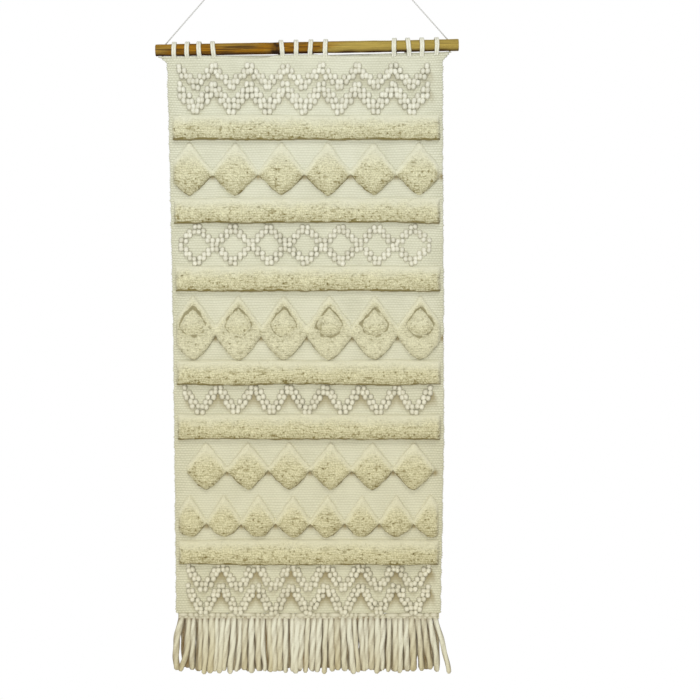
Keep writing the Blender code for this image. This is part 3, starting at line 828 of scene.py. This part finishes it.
class HANGING_OT_pile(bpy.types.Operator):
    """Makes the six bands, the three rows of diamonds, and the lattice with its dots"""
    bl_idname = "hanging.pile"
    bl_label = "Make pile"

    def execute(self, context):
        pile, cloth = context.scene.hanging_pile, context.scene.hanging_cloth
        # the fade pair is painted light: pale at each upper edge of the pile
        material = yarn_finish("cut_cotton", pile.colour, pile.shade_colour, bump=0.5, mottle=0.015,
                               fade=(pile.pale_colour, cloth.shade_colour), speckle=1.25)
        shapes = []
        for number in range(1, 7):
            node = f"pile_band_{number}"
            shapes.append((node, node, band_shape(*node_depths(node), 40 + 7 * number), BAND_RISE))
        for node, first, pitch, shoulder, neck, round_tip in DIAMOND_ROWS:
            shape = diamond_shape(*node_depths(node), first, pitch, shoulder, neck, 91, round_tip)
            shapes.append((node, node.replace("pile_", "cut_"), shape, DIAMOND_RISE))
        lattice = lattice_shape(*node_depths("lattice_outline"))
        shapes.append(("lattice_outline", "cut_lattice", lattice, DIAMOND_RISE))
        for seed, (node, name, shape, rise) in enumerate(shapes):
            (x0, d0), (x1, d1) = node_depths(node)
            obj = pile_sheet(name, (x0 - PILE_MARGIN, d0 - PILE_MARGIN), (x1 + PILE_MARGIN, d1 + PILE_MARGIN),
                             shape, pile, material, 200 + 20 * seed, rise)
            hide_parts(node)
            ride_fold(obj, (d0, d1))
        self.dots(pile, material)
        return {"FINISHED"}

    def dots(self, pile, material):
        margin = 0.003
        reach = EYE["half_width"] + margin
        for number in range(6):
            middle = LATTICE["first"] + LATTICE["pitch"] * number
            low = (middle - reach, EYE["centre"] - EYE["rise"] - margin)
            high = (middle + reach, EYE["centre"] + EYE["fall"] + margin)
            obj = pile_sheet(f"cut_dot_{number + 1}", low, high, dot_shape(middle), pile, material,
                             500 + number, DOT_RISE)
            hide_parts(f"lattice_dot_{number + 1}")
            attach(obj, "panel_middle")


class HANGING_OT_cloth(bpy.types.Operator):
    """Weaves the ground cloth in four lengths that meet under the pile bands"""
    bl_idname = "hanging.cloth"
    bl_label = "Weave cloth"

    def execute(self, context):
        settings = context.scene.hanging_cloth
        material = cloth_finish(settings)
        bands = [np.mean([node_depths(f"pile_band_{n}")[k][1] for k in (0, 1)]) for n in (3, 4, 6)]
        stops = [0.0, *bands, CLOTH_END]
        nodes = (("ground_upper",), ("ground_upper", "ground_middle"), ("ground_middle", "ground_lower"),
                 ("ground_lower",))
        for name, top, bottom, stands_for in zip(("cloth_top", "cloth_chest", "cloth_waist", "cloth_foot"),
                                                 stops, stops[1:], nodes):
            obj = cloth_length(name, top, bottom, settings, material)
            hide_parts(*stands_for)
            ride_fold(obj, (top, bottom))
            width = float(right_edge((top + bottom) / 2) - left_edge((top + bottom) / 2))
            float(bottom - top)
        return {"FINISHED"}


# ---- the beads ------------------------------------------------------------------------------------
def zigzag_beads(first_peak, pitch, top, bottom, rows, gap, wide, turns=range(14)):
    """Places (x, depth, way) of the beads of one zigzag. Half turn 0 starts a whole pitch before the first
    full peak. From each peak the two arms run down to the valleys in even rows. In a row an arm is so many
    beads wide, a gap apart; by a peak or a valley it loses one, to keep off the other arm."""
    step = (bottom - top) / (rows - 1)
    limit = pitch / 2 - gap / 2
    places = []
    for turn in turns:
        x_top = first_peak - pitch + pitch * ((turn + 1) // 2)
        away = -1 if turn % 2 else 1
        for row in range(rows):
            from_peak = pitch / 2 * row / (rows - 1)
            half = gap * (wide - 1) / 2
            if row == 0 or row == rows - 1:
                beads = (gap / 2,) if row == 0 else (limit,)
            elif from_peak - half < gap / 2:
                beads = gap * (np.arange(max(wide - 1, 2)) + 0.5)
            elif from_peak + half > limit:
                beads = limit - gap * np.arange(max(wide - 1, 2))
            else:
                beads = from_peak - half + gap * np.arange(wide)
            places += [(x_top + away * b, top + step * row, away) for b in beads]
    return np.array(places)


def bead_skins(name, places, beads, bead_height, material, seed):
    """Puffy loops of yarn: half-sunk eggs with a soft crease down the middle. A point is
    (a sin p cos q, b cos p, c sin p sin q), with p from the top pole down and q round the upright axis. The
    half that is sunk in the cloth is flatter."""
    count = len(places)
    rings, around = 6, 10
    p = (np.arange(rings) + 1) / (rings + 1) * math.pi
    q = round_angles(around)
    number = np.arange(count)
    vary = [hashed(number, number * 3 + k, seed) - 0.5 for k in range(7)]
    a = beads.width / 2 * (1 + 0.14 * vary[0])
    b = bead_height / 2 * (1 + 0.12 * vary[1])
    c = beads.relief * (1 + 0.16 * vary[2])
    full = np.sin(p) ** 0.62
    crease = 1 - 0.08 * np.exp(-((q - 1.5 * math.pi) / 0.35) ** 2)
    x = a[:, None, None] * full[None, :, None] * np.cos(q)
    y = c[:, None, None] * full[None, :, None] * np.sin(q) * crease
    y = np.where(y > 0, 0.45 * y, y)
    z = b[:, None, None] * np.cos(p)[None, :, None]
    tilt = 0.24 * vary[3] + 0.16 * places[:, 2]
    cos, sin = np.cos(tilt)[:, None, None], np.sin(tilt)[:, None, None]
    x, z = x * cos - z * sin, x * sin + z * cos
    z = z + 0.10 * y
    centre_x = places[:, 0] + 0.0022 * vary[4]
    centre_d = places[:, 1] + 0.0026 * vary[5]
    centre_y = CLOTH_FRONT - 0.0004
    here = np.stack([x + centre_x[:, None, None], y + centre_y,
                     z + (CLOTH_TOP - centre_d)[:, None, None]], -1)
    poles = [np.stack([centre_x - s * b * np.sin(tilt), np.full(count, centre_y),
                       CLOTH_TOP - centre_d + s * b * np.cos(tilt)], -1) for s in (1, -1)]
    # painted shade and light: each loop is darker round its rim, where it turns in to the cloth, and lighter
    # towards its top; the rest of the tone differs at random from loop to loop
    tone = 0.05 + 0.90 * np.clip(-y / beads.relief, 0, 1) ** 0.8 + 0.24 * vary[6][:, None, None]
    tone = tone + 0.14 * np.cos(p)[None, :, None]
    obj = wrapped(name, here[:, :, ::-1], poles[0], poles[1], {"tone": tone[:, :, ::-1]})
    return dress(obj, material)


# Each bead line: name, CAD node it fills, first full peak (x), pitch, rows, beads across an arm, depth of the
# first and last row.
BEAD_LINES = (
    ("bead_zigzag_1", "beads_top_first", -0.1403, 0.0540, 5, 3, 0.0150, 0.0468),
    ("bead_zigzag_2", "beads_top_second", -0.1403, 0.0540, 6, 3, 0.0430, 0.0835),
    ("bead_zigzag_3", "beads_middle", -0.1335, 0.0536, 6, 2, 0.4975, 0.5335),
    ("bead_zigzag_4", "beads_bottom_first", -0.1290, 0.0524, 6, 2, 0.7635, 0.7990),
    ("bead_zigzag_5", "beads_bottom_second", -0.1290, 0.0524, 7, 2, 0.7950, 0.8350),
)


ROW_HEIGHT, CHAIN_ROW_HEIGHT = 1.22, 1.26     # a bead's height for each step between two rows


class HANGING_OT_beads(bpy.types.Operator):
    """Makes the bead loops of the zigzags and of the chain of open diamonds"""
    bl_idname = "hanging.beads"
    bl_label = "Make beads"

    def execute(self, context):
        beads = context.scene.hanging_beads
        material = yarn_finish("bead_cotton", beads.colour, beads.shade_colour, (1.0, 1.0, 0.4), bump=0.45,
                               mottle=0.06)
        for seed, (name, node, first, pitch, rows, wide, top, bottom) in enumerate(BEAD_LINES):
            places = zigzag_beads(first, pitch, top, bottom, rows, beads.spacing * (1.3 - 0.1 * wide), wide)
            bead_height = (bottom - top) / (rows - 1) * ROW_HEIGHT
            obj = bead_skins(name, places, beads, bead_height, material, 700 + seed)
            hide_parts(node)
            ride_fold(obj, (top - 0.004, bottom + 0.004))
        self.chain(beads, material)
        return {"FINISHED"}

    def chain(self, beads, material):
        """The open diamonds: a zigzag and its mirror image about the chain's middle line."""
        (_, top), (_, bottom) = node_depths("beads_diamond_chain")
        middle, rows, edge = (top + bottom) / 2, 5, 0.0040
        upper = zigzag_beads(-0.1650, 0.0540, top + edge, middle, rows, beads.spacing * 1.08, 2, range(1, 15))
        lower = upper * (1, -1, -1) + (0, 2 * middle, 0)
        lower = lower[lower[:, 1] > middle + 0.002]
        bead_height = (middle - top - edge) / (rows - 1) * CHAIN_ROW_HEIGHT
        obj = bead_skins("bead_diamonds", np.concatenate([upper, lower]), beads, bead_height, material, 740)
        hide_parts("beads_diamond_chain")
        ride_fold(obj, (top, bottom))


# ---- loops, dowel and string ----------------------------------------------------------------------
class HANGING_OT_loops(bpy.types.Operator):
    """Makes the twelve warp loops over the dowel"""
    bl_idname = "hanging.loops"
    bl_label = "Make loops"

    def execute(self, context):
        beads = context.scene.hanging_beads
        material = yarn_finish("loop_cotton", beads.colour, beads.shade_colour, (1.0, 1.0, 0.3), bump=0.4,
                               mottle=0.04)
        for number in range(1, 13):
            node = f"loop_{number:02d}"
            low, high = node_box(node)
            obj = self.loop(f"warp_{node}", (low[0] + high[0]) / 2, high[0] - low[0], number)
            dress(obj, material)
            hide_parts(node)
            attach(obj, "panel_upper")
        return {"FINISHED"}

    def loop(self, name, x, width, number):
        """Two plies side by side along one path: up in front of the dowel, over it and down behind. In the
        plane across the dowel the path is a circle of the dowel's radius + half the yarn, joined 58 degrees
        below its middle to straight feet that sink into the cloth's top edge."""
        thick = 0.0015
        axis_z = float(dowel_height(x))
        radius = DOWEL_RADIUS + 0.00035 + thick
        foot = CLOTH_TOP - float(top_line(x)) - 0.0030 - axis_z
        angles = np.radians(np.linspace(-58, 238, 33))
        ring = np.stack([radius * np.cos(angles), radius * np.sin(angles)], -1)
        foot_behind, foot_before = np.array([0.0016, foot]), np.array([-0.0016, foot])
        steps = np.linspace(0, 1, 6)[:, None]
        behind = foot_behind + (ring[0] - foot_behind) * steps[:-1]
        before = ring[-1] + (foot_before - ring[-1]) * steps[1:]
        section = np.concatenate([behind, ring, before])
        slant = 0.0040 * (hashed(number, 5, 61) - 0.35)
        t = np.linspace(-1, 1, len(section))
        bow = 0.0004 * np.sin(t * 5 + number)
        path = np.stack([x + slant * t + bow, DOWEL_AXIS_Y + section[:, 0], axis_z + section[:, 1]], -1)
        length = np.cumsum(np.append(0, np.linalg.norm(np.diff(path, axis=0), axis=1)))
        plies = np.stack([path + (side * width * 0.235, 0, 0) for side in (-1, 1)])
        twist = length / 0.0090 * 2 * math.pi
        rings = tube_rings(plies, (1.0, 0.0, 0.0), width * 0.27, thick, 12, 3, 0.07,
                           np.stack([twist, twist + 1.0]))
        # painted shade: each ply is darker on the sides that face its neighbour
        tone = 0.55 + 0.45 * np.abs(np.sin(round_angles(12)))
        return wrapped(name, rings, values={"tone": np.broadcast_to(tone, rings.shape[:3])})


class HANGING_OT_dowel(bpy.types.Operator):
    """Makes the bare stick"""
    bl_idname = "hanging.dowel"
    bl_label = "Make dowel"

    def execute(self, context):
        dowel = context.scene.hanging_dowel
        x, around = self.stations(), 72
        a = round_angles(around)
        x, a = np.meshgrid(x, a, indexing="ij")
        left, right = DOWEL_LOW[0], DOWEL_HIGH[0]
        into = np.minimum(x - left, right - x)
        lump = noise(x / 0.030, 1.5 * np.cos(a) + 4, 71)
        lump = lump + 0.6 * noise(x / 0.011 + 9, 2.5 * np.sin(a) + 4, 72) + 0.25 * noise(x / 0.004, a * 3, 73)
        radius = DOWEL_RADIUS - 0.0001 + dowel.lumps * lump - dowel.lumps
        radius = radius * (0.90 + 0.10 * crown(into, 0.0016))
        radius = radius * np.where(into <= 0, 0.60, 1.0)
        centre = dowel_height(x)
        y = DOWEL_AXIS_Y + radius * np.sin(a)
        z = centre + radius * np.cos(a)
        x = x - (z - centre) * DOWEL_SLOPE * (into < 0.002)
        knot = np.exp(-((x + 0.047) / 0.0085) ** 2 - ((np.sin(a) + 0.75) / 0.55) ** 2)
        knot = np.clip(knot * (1.1 + 0.6 * noise(x / 0.004, a * 2, 74)), 0, 1) * 0.9
        # painted shade: a dark band along the stick's underside
        under = np.exp(-((a - math.radians(200)) / 0.50) ** 2) * (0.95 + 0.45 * noise(x / 0.02, a, 75))
        middle = np.exp(-((a - math.radians(276) + 0.25 * noise(x / 0.035, 0, 76)) / 0.10) ** 2)
        middle = middle * smooth((noise(x / 0.050, 3, 77) + 0.35) / 0.4) * (x < 0.02) * 0.8
        points = np.stack([x, y, z], -1)
        obj = wrapped("bare_dowel", points[None], values={"knot": knot[None],
                                                          "streak": np.maximum(under, middle)[None]})
        dress(obj, wood_finish(dowel))
        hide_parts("dowel")
        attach(obj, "dowel")
        return {"FINISHED"}

    def stations(self):
        """Places along X: close together at both sawn ends, even between them."""
        left, right = DOWEL_LOW[0], DOWEL_HIGH[0]
        edge = np.array([0.0, 0.00005, 0.0003, 0.0008, 0.0016])
        between = np.linspace(left + 0.003, right - 0.003, 300)
        return np.concatenate([left + edge, between, right - edge[::-1]])


SCREW_RADIUS = 0.00275
STRING_STEP = 0.0009                  # distance between two ring centres of the string


def smooth_route(points, step):
    """A Catmull-Rom curve through the points, read at even steps along its length."""
    points = np.asarray(points, float)
    knots = np.concatenate([[2 * points[0] - points[1]], points, [2 * points[-1] - points[-2]]])
    t = np.linspace(0, 1, 40, endpoint=False)[None, :, None]
    a, b, c, d = (knots[k:len(knots) - 3 + k, None, :] for k in range(4))
    fine = 0.5 * (2 * b + (c - a) * t + (2 * a - 5 * b + 4 * c - d) * t ** 2
                  + (3 * b - a - 3 * c + d) * t ** 3)
    fine = np.concatenate([fine.reshape(-1, 3), points[-1:]])
    length = np.append(0, np.cumsum(np.linalg.norm(np.diff(fine, axis=0), axis=1)))
    even = np.linspace(0, length[-1], int(length[-1] / step) + 1)
    return np.stack([np.interp(even, length, fine[:, k]) for k in range(3)], -1), length[-1]


def string_points():
    """The string's route: from the left knot up behind the dowel, over the screw and down to the right."""
    gap, cord = 0.0004, 0.001
    around_screw = SCREW_RADIUS + gap + cord
    around_dowel = DOWEL_RADIUS + 2 * gap + cord

    def round_the_dowel(x, angle):
        a = math.radians(angle)
        return np.array([x, DOWEL_AXIS_Y + around_dowel * math.cos(a),
                         dowel_height(x) - around_dowel * math.sin(a)])

    def straight(start, end):
        return [start + (end - start) * t for t in (0.02, 0.07, 0.2, 0.5, 0.8, 0.93, 0.98)]

    left = [round_the_dowel(x, a) for x, a in
            ((-0.2152, 74), (-0.2169, 52), (-0.2188, 30), (-0.2203, 8), (-0.2204, -14))]
    right = [round_the_dowel(x, a) for x, a in
             ((0.2182, -14), (0.2182, 8), (0.2169, 30), (0.2146, 52), (0.2119, 74))]
    left[-1][1] = right[0][1] = DOWEL_AXIS_Y + around_dowel
    on_screw = HINGES["hanging_sway"]["pos_m"][1]
    over = [np.array([around_screw * math.sin(math.radians(a)), on_screw,
                      around_screw * math.cos(math.radians(a))]) for a in (-47, -25, 0, 25, 47)]
    return [*left, *straight(left[-1], over[0]), *over, *straight(over[-1], right[0]), *right]


class HANGING_OT_string(bpy.types.Operator):
    """Makes the string, its two knots and the wall screw"""
    bl_idname = "hanging.string"
    bl_label = "Make string"

    def execute(self, context):
        string = context.scene.hanging_string
        # the second colour is the string colour darkened, for the painted shade in its twist
        material = yarn_finish("grey_string", string.colour, tuple(c * 0.55 for c in string.colour),
                               bump=0.3, mottle=0.05)
        path, length = smooth_route(string_points(), STRING_STEP)
        twist = np.arange(len(path)) * STRING_STEP / string.lay * 2 * math.pi
        radius = string.diameter / 2 * 0.94
        rings = tube_rings(path[None], (0.0, 1.0, 0.02), radius, radius, 12, 2, 0.20, 2 * twist[None])
        a = round_angles(12)
        # painted shade: darker in the groove between the two plies as they twist
        tone = 0.55 + 0.45 * np.cos(2 * a - 2 * twist[:, None])
        obj = wrapped("string", rings, values={"tone": tone[None]})
        dress(obj, material)
        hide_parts("hanging_cord")
        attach(obj, "hanger")
        knots = [self.knot(node, string, material) for node in ("knot_left", "knot_right")]
        screw = self.screw(string)
        return {"FINISHED"}

    def knot(self, node, string, material):
        """An overhand knot, (sin t + 2 sin 2t, cos t - 2 cos 2t, -sin 3t) scaled to the knot's box, with a
        short tail that runs in to the cloth's corner."""
        low, high = node_box(node)
        centre, reach = (low + high) / 2, (high - low).max() / 2
        t = np.linspace(0.4, 2 * math.pi + 0.2, 44)
        loop = np.stack([np.sin(t) + 2 * np.sin(2 * t), -np.sin(3 * t), np.cos(t) - 2 * np.cos(2 * t)], -1)
        loop = loop * reach * 0.30
        inward = 1.0 if node == "knot_left" else -1.0
        tail = np.stack([np.linspace(0, inward * 0.0040, 9), np.linspace(0, -0.0008, 9),
                         -np.linspace(0, 1, 9) ** 1.2 * 0.0052], -1)[1:]
        path = centre + np.concatenate([loop, loop[-1] + tail])
        twist = np.arange(len(path)) * 0.55
        rings = tube_rings(path[None], (0.1, 0.3, 1.0), string.diameter * 0.44, string.diameter * 0.44, 10, 2,
                           0.18, twist[None])
        obj = wrapped(f"string_{node}", rings, values={"tone": np.full(rings.shape[:3], 0.5)})
        dress(obj, material)
        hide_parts(node)
        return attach(obj, "hanger")

    def screw(self, string):
        """A turned surface about Y. Its radius is the profile's, plus a ridge that winds round: the thread is
        a triangle wave of y / pitch - angle / turn. The head has a cross-shaped slot: a dip of its face
        within a third of a blade's width of either axis."""
        front, tip = SCREW_LOW[1], SCREW_HIGH[1]
        head = (SCREW_HIGH[0] - SCREW_LOW[0]) / 2
        shank, neck = SCREW_RADIUS, 0.0200
        stations = np.linspace(0, head, 14)[1:]
        face = zip(stations, front + 0.0030 * (1 - np.sqrt(1 - (stations / head) ** 2 * 0.92)))
        back = [(head, front + 0.0038), (head * 0.9, front + 0.0043), (shank * 1.15, front + 0.0044),
                (shank, front + 0.0050)]
        y = np.linspace(front + 0.0056, tip - 0.0002, 260)
        taper = np.sqrt(np.clip((tip - y) / 0.010, 0, 1))
        rows = np.array([*face, *back, *zip(shank * taper, y)])
        around = 48
        a = round_angles(around)
        r, y = rows[:, 0][:, None] + 0 * a, rows[:, 1][:, None] + 0 * a
        ridge = 1 - np.abs(((y - front) / 0.0019 - a / (2 * math.pi)) % 1 * 2 - 1)
        threaded = smooth((y - front - neck) / 0.002)
        r = r * (1 - 0.24 * threaded * (1 - ridge))
        x, z = r * np.sin(a), r * np.cos(a)
        blade = np.minimum(np.abs(x), np.abs(z))
        on_face = np.arange(len(rows))[:, None] < len(stations)
        slot = (blade < 0.00055) & (np.hypot(x, z) < head * 0.62) & on_face
        y = y + 0.0014 * slot
        points = np.stack([x, y, z], -1)
        start = np.array([[0.0, front + 0.0015, 0.0]])
        obj = wrapped("round_head_screw", points[None], start, np.array([[0.0, tip, 0.0]]))
        dress(obj, steel_finish(string))
        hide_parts("wall_screw")
        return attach(obj, "wall")


# ---- hem and fringe -------------------------------------------------------------------------------
class HANGING_OT_hem(bpy.types.Operator):
    """Makes the twined braid along the bottom edge"""
    bl_idname = "hanging.hem"
    bl_label = "Make hem"

    def execute(self, context):
        beads = context.scene.hanging_beads
        material = yarn_finish("hem_cotton", beads.colour, beads.shade_colour, (0.4, 1.0, 1.0), bump=0.4,
                               mottle=0.06)
        obj = self.braid()
        dress(obj, material)
        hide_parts("hem_braid")
        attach(obj, "panel_lower")
        return {"FINISHED"}

    def braid(self):
        """Two rolls of puffy stitches, one above the other. A roll's radius is r (0.66 + 0.34 |sin|^0.6) over
        each stitch, and the upper roll's stitches are long and uneven."""
        middle_z, middle_y = (HEM_LOW[2] + HEM_HIGH[2]) / 2, (HEM_LOW[1] + HEM_HIGH[1]) / 2
        x = np.linspace(HEM_LOW[0] + 0.001, HEM_HIGH[0] - 0.001, 760)
        number = np.arange(120)
        paths, radii, phases = [], [], []
        for side, shortest, spread, lift, radius in ((0, 0.0060, 0.0190, 0.0016, 0.0033),
                                                     (1, 0.0070, 0.0030, -0.0021, 0.0025)):
            lengths = shortest + spread * hashed(number, number * 7, 84 + side) ** 2.2
            stitches = np.interp(x - x[0], np.append(0, np.cumsum(lengths)), np.arange(121))
            puff = np.abs(np.sin(math.pi * stitches)) ** 0.6
            sway = 0.0005 * noise(x / 0.02, side, 82)
            paths.append(np.stack([x, middle_y - 0.0012 + 0 * x, middle_z + lift + sway], -1))
            radii.append(radius * (0.66 + 0.34 * puff) * (1 + 0.12 * noise(x / 0.014, 0, 83 + side)))
            phases.append(puff)
        radii = np.array(radii)
        rings = tube_rings(np.array(paths), (0.0, 0.0, 1.0), radii, radii * 1.15, 12)
        low, high = rings[..., 1].min(), rings[..., 1].max()
        # painted light and shade: each roll is lighter on its front, darker behind and in the pinch between
        # two stitches
        tone = 0.05 + 0.80 * (high - rings[..., 1]) / (high - low) - 0.45 * (1 - np.array(phases)[..., None])
        return wrapped("twined_hem", rings, values={"tone": tone})


# Strands at the ends of the fringe that lean on their own: number from the left, lean, bow, all in metres.
LOOSE_STRANDS = ((0, -0.0085, -0.0050), (1, -0.0110, 0.0030), (2, -0.0030, 0.0), (-6, 0.0010, 0.0),
                 (-5, 0.0035, 0.0), (-4, 0.0065, 0.0005), (-3, 0.0095, 0.0010), (-2, 0.0125, 0.0020),
                 (-1, 0.0215, 0.0030))


class HANGING_OT_fringe(bpy.types.Operator):
    """Makes the fringe's strands, in front and behind"""
    bl_idname = "hanging.fringe"
    bl_label = "Make fringe"

    def execute(self, context):
        fringe = context.scene.hanging_fringe
        material = yarn_finish("fringe_cotton", fringe.colour, fringe.shade_colour, (1.0, 1.0, 0.12),
                               bump=0.45, mottle=0.05, fade=(fringe.tip_colour, fringe.shade_colour),
                               speckle=0.5)
        groups, bundles = 3, 15
        for group in range(groups):
            obj = self.strands(f"fringe_front_{group + 1}", fringe.front_count, 0, fringe, group, groups)
            dress(obj, material)
            nodes = [f"fringe_{n + 1:02d}" for n in range(bundles) if n * groups // bundles == group]
            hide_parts(*nodes)
            self.hang(obj)
        obj = self.strands("fringe_behind", fringe.back_count, 1, fringe, 0, 1)
        dress(obj, material)
        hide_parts("fringe_back")
        self.hang(obj)
        return {"FINISHED"}

    def hang(self, obj):
        """Applies the strands' transform to their points."""
        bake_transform(obj)

    def strands(self, name, count, layer, fringe, group, groups):
        """Each strand starts inside the hem and goes down by its own length. Sideways it goes by
        lean t^1.3 + bow sin(pi t) + a wave, where neighbours lean much the same way, and it swells a little
        below the hem and is rounded at its cut end. The tone falls between the plies and the fade towards the
        ends."""
        every = np.arange(count)
        chosen = every[every * groups // count == group]
        share = (chosen + 0.5) / count
        r = [hashed(chosen, chosen * 5 + k, 900 + layer) - 0.5 for k in range(9)]
        rows, around, inside_hem = 30, 12, 0.0030
        t = np.linspace(0, 1, rows)[None, :]
        left, right = HEM_LOW[0] + 0.0030, HEM_HIGH[0] - 0.0030
        x_top = left + (right - left) * share + 0.0012 * r[0]
        length = 0.0800 + 0.0075 * r[1] - 0.0030 * layer
        lean = 0.0060 * noise(share * 9, layer, 87) + 0.0050 * r[2]
        bow = 0.0030 * r[3]
        if layer == 0:
            for number, own_lean, own_bow in LOOSE_STRANDS:
                this = chosen == number % count
                lean, bow = np.where(this, own_lean, lean), np.where(this, own_bow, bow)
        wavy = (0.0026 * r[4][:, None] * np.sin(t * 6.5 + 6 * r[5][:, None])
                + 0.0006 * np.sin(t * 13 + 20 * r[6][:, None]))
        x = x_top[:, None] + lean[:, None] * t ** 1.3 + bow[:, None] * np.sin(math.pi * t) + wavy * t
        front_y = HINGES["fringe_swing"]["pos_m"][1] - 0.0024 + 0.0058 * layer
        y = front_y + 0.0030 * r[7][:, None] * smooth(t * 4) + 0.0008 * np.sin(t * 8 + 12 * r[5][:, None]) * t
        y = y + (CLOTH_MIDDLE - front_y) * (1 - smooth(t * 9))
        z = HEM_LOW[2] + inside_hem - (length[:, None] + inside_hem) * t
        path = np.stack([x, y, z], -1)
        swell = (0.94 + 0.06 * smooth(t * 6)) * (1 - 0.10 * t ** 3)
        swell = swell * (1 + 0.10 * r[8][:, None] * np.sin(t * 9))
        swell = swell * (0.40 + 0.60 * crown(1.0005 - t, 0.034))
        thick = fringe.radius * (1.04 + 0.08 * layer + 0.30 * r[6][:, None]) * swell
        turns = t * (7 + 3 * r[6][:, None]) * 2 * math.pi / 3 + 9 * r[0][:, None]
        rings = tube_rings(path, (1.0, 0.0, 0.0), thick, thick * 0.78, around, 3, 0.07, turns)
        a = round_angles(around)
        lobe = np.cos(3 * a - turns[..., None])
        towards = (path[..., None, 1] - rings[..., 1]) / thick[..., None]
        # painted shade: front strands are darker on their sides, in the gaps between strands, and just under
        # the hem; back strands are darker on the side that faces the front strands; the lobes darken the
        # grooves between the plies
        if layer:
            tone = 0.56 - 0.50 * towards + 0.10 * t[..., None]
        else:
            tone = 0.20 + np.abs(towards) - 0.30 * (1 - smooth(t * 8))[..., None]
        tone = tone + 0.12 * lobe + 0.20 * r[1][:, None, None]
        fade = 1.05 - 0.75 * t[..., None] ** 1.2 + 0.70 * r[4][:, None, None]
        return wrapped(name, rings, values={"tone": tone, "fade": np.clip(fade, 0, 1)})


# ---- stage ----------------------------------------------------------------------------------------
class HANGING_OT_stage(bpy.types.Operator):
    """Sets up the camera, the white room, two soft lights and a pale floor"""
    bl_idname = "hanging.stage"
    bl_label = "Set stage"

    def execute(self, context):
        stage, scene = context.scene.hanging_stage, context.scene
        centre_x, centre_z = 0.0645, -0.6990
        lens = bpy.data.cameras.new("view")
        lens.lens, lens.sensor_width = stage.lens, 36.0
        lens.clip_start, lens.clip_end = 0.05, 60.0
        camera = bpy.data.objects.new("view", lens)
        distance = stage.view_width * stage.lens / lens.sensor_width
        camera.location = (centre_x, CLOTH_FRONT - distance, centre_z)
        camera.rotation_euler = (math.radians(90), 0, 0)
        scene.collection.objects.link(camera)
        scene.camera = camera
        scene.view_settings.view_transform = "Standard"
        aim = (0.0, 0.0, -0.70)
        self.light("key_light", (0.35, -2.9, 2.4), aim, 1.3, stage.key_power)
        self.light("front_light", (-0.5, -3.2, -1.0), aim, 2.2, stage.front_power)
        self.room(scene, stage)
        self.floor()
        return {"FINISHED"}

    def light(self, name, place, aim, width, power):
        data = bpy.data.lights.new(name, "AREA")
        data.shape, data.size, data.energy = "DISK", width, power
        lamp = bpy.data.objects.new(name, data)
        away = np.array(place) - np.array(aim)
        lamp.location = place
        lamp.rotation_euler = (math.acos(away[2] / np.linalg.norm(away)), 0.0, math.atan2(away[0], -away[1]))
        bpy.context.scene.collection.objects.link(lamp)

    def room(self, scene, stage):
        """A white room: full white to the eye, and a softer white as light."""
        world = bpy.data.worlds.new("white_room")
        scene.world = world
        world.use_nodes = True
        nodes, links = world.node_tree.nodes, world.node_tree.links
        seen = nodes.new("ShaderNodeLightPath")
        spread = nodes.new("ShaderNodeMapRange")
        spread.inputs["To Min"].default_value, spread.inputs["To Max"].default_value = stage.surround, 1.0
        links.new(seen.outputs["Is Camera Ray"], spread.inputs["Value"])
        nodes["Background"].inputs["Color"].default_value = (1.0, 1.0, 1.0, 1.0)
        links.new(spread.outputs[0], nodes["Background"].inputs["Strength"])

    def floor(self):
        """A pale disc, its points at radius x (cos a, sin a), well below the fringe."""
        radius, z = 3.0, -1.90
        a, reach = np.meshgrid(round_angles(96), radius * np.array([0.02, 0.5, 1.0]))
        rings = np.stack([reach * np.cos(a), reach * np.sin(a), z + 0 * a], -1)
        under = rings[::-1] - (0, 0, 0.02)
        obj = wrapped("floor", np.concatenate([rings, under])[None])
        pale = Finish("pale_floor", Roughness=0.8)
        grain = pale.noise(3.0, 4.0)
        base = pale.mix(grain, (0.92, 0.915, 0.90), (0.95, 0.945, 0.935))
        obj.data.materials.append(pale.finish(Base_Color=base))


class HANGING_PT_panel(bpy.types.Panel):
    """Lists the hanging's settings and the steps that build it"""
    bl_label = "Woven wall hanging"
    bl_idname = "HANGING_PT_panel"
    bl_space_type = "VIEW_3D"
    bl_region_type = "UI"
    bl_category = "Hanging"

    def draw(self, context):
        for step in STEPS:
            self.layout.operator(step.bl_idname)
        for key, group in SETTINGS.items():
            box = self.layout.box()
            for name in group.__annotations__:
                box.prop(getattr(context.scene, key), name)


STEPS = (HANGING_OT_stage, HANGING_OT_string, HANGING_OT_dowel, HANGING_OT_loops, HANGING_OT_cloth,
         HANGING_OT_pile, HANGING_OT_beads, HANGING_OT_hem, HANGING_OT_fringe)
CLASSES = (*SETTINGS.values(), *STEPS, HANGING_PT_panel)


def register():
    for each in CLASSES:
        bpy.utils.register_class(each)
    for key, group in SETTINGS.items():
        setattr(bpy.types.Scene, key, bpy.props.PointerProperty(type=group))


def unregister():
    for key in SETTINGS:
        delattr(bpy.types.Scene, key)
    for each in reversed(CLASSES):
        bpy.utils.unregister_class(each)


def main():
    register()
    bpy.ops.hanging.stage()
    bpy.ops.hanging.string()
    bpy.ops.hanging.dowel()
    bpy.ops.hanging.loops()
    bpy.ops.hanging.cloth()
    bpy.ops.hanging.pile()
    bpy.ops.hanging.beads()
    bpy.ops.hanging.hem()
    bpy.ops.hanging.fringe()


if __name__ == "__main__":
    main()
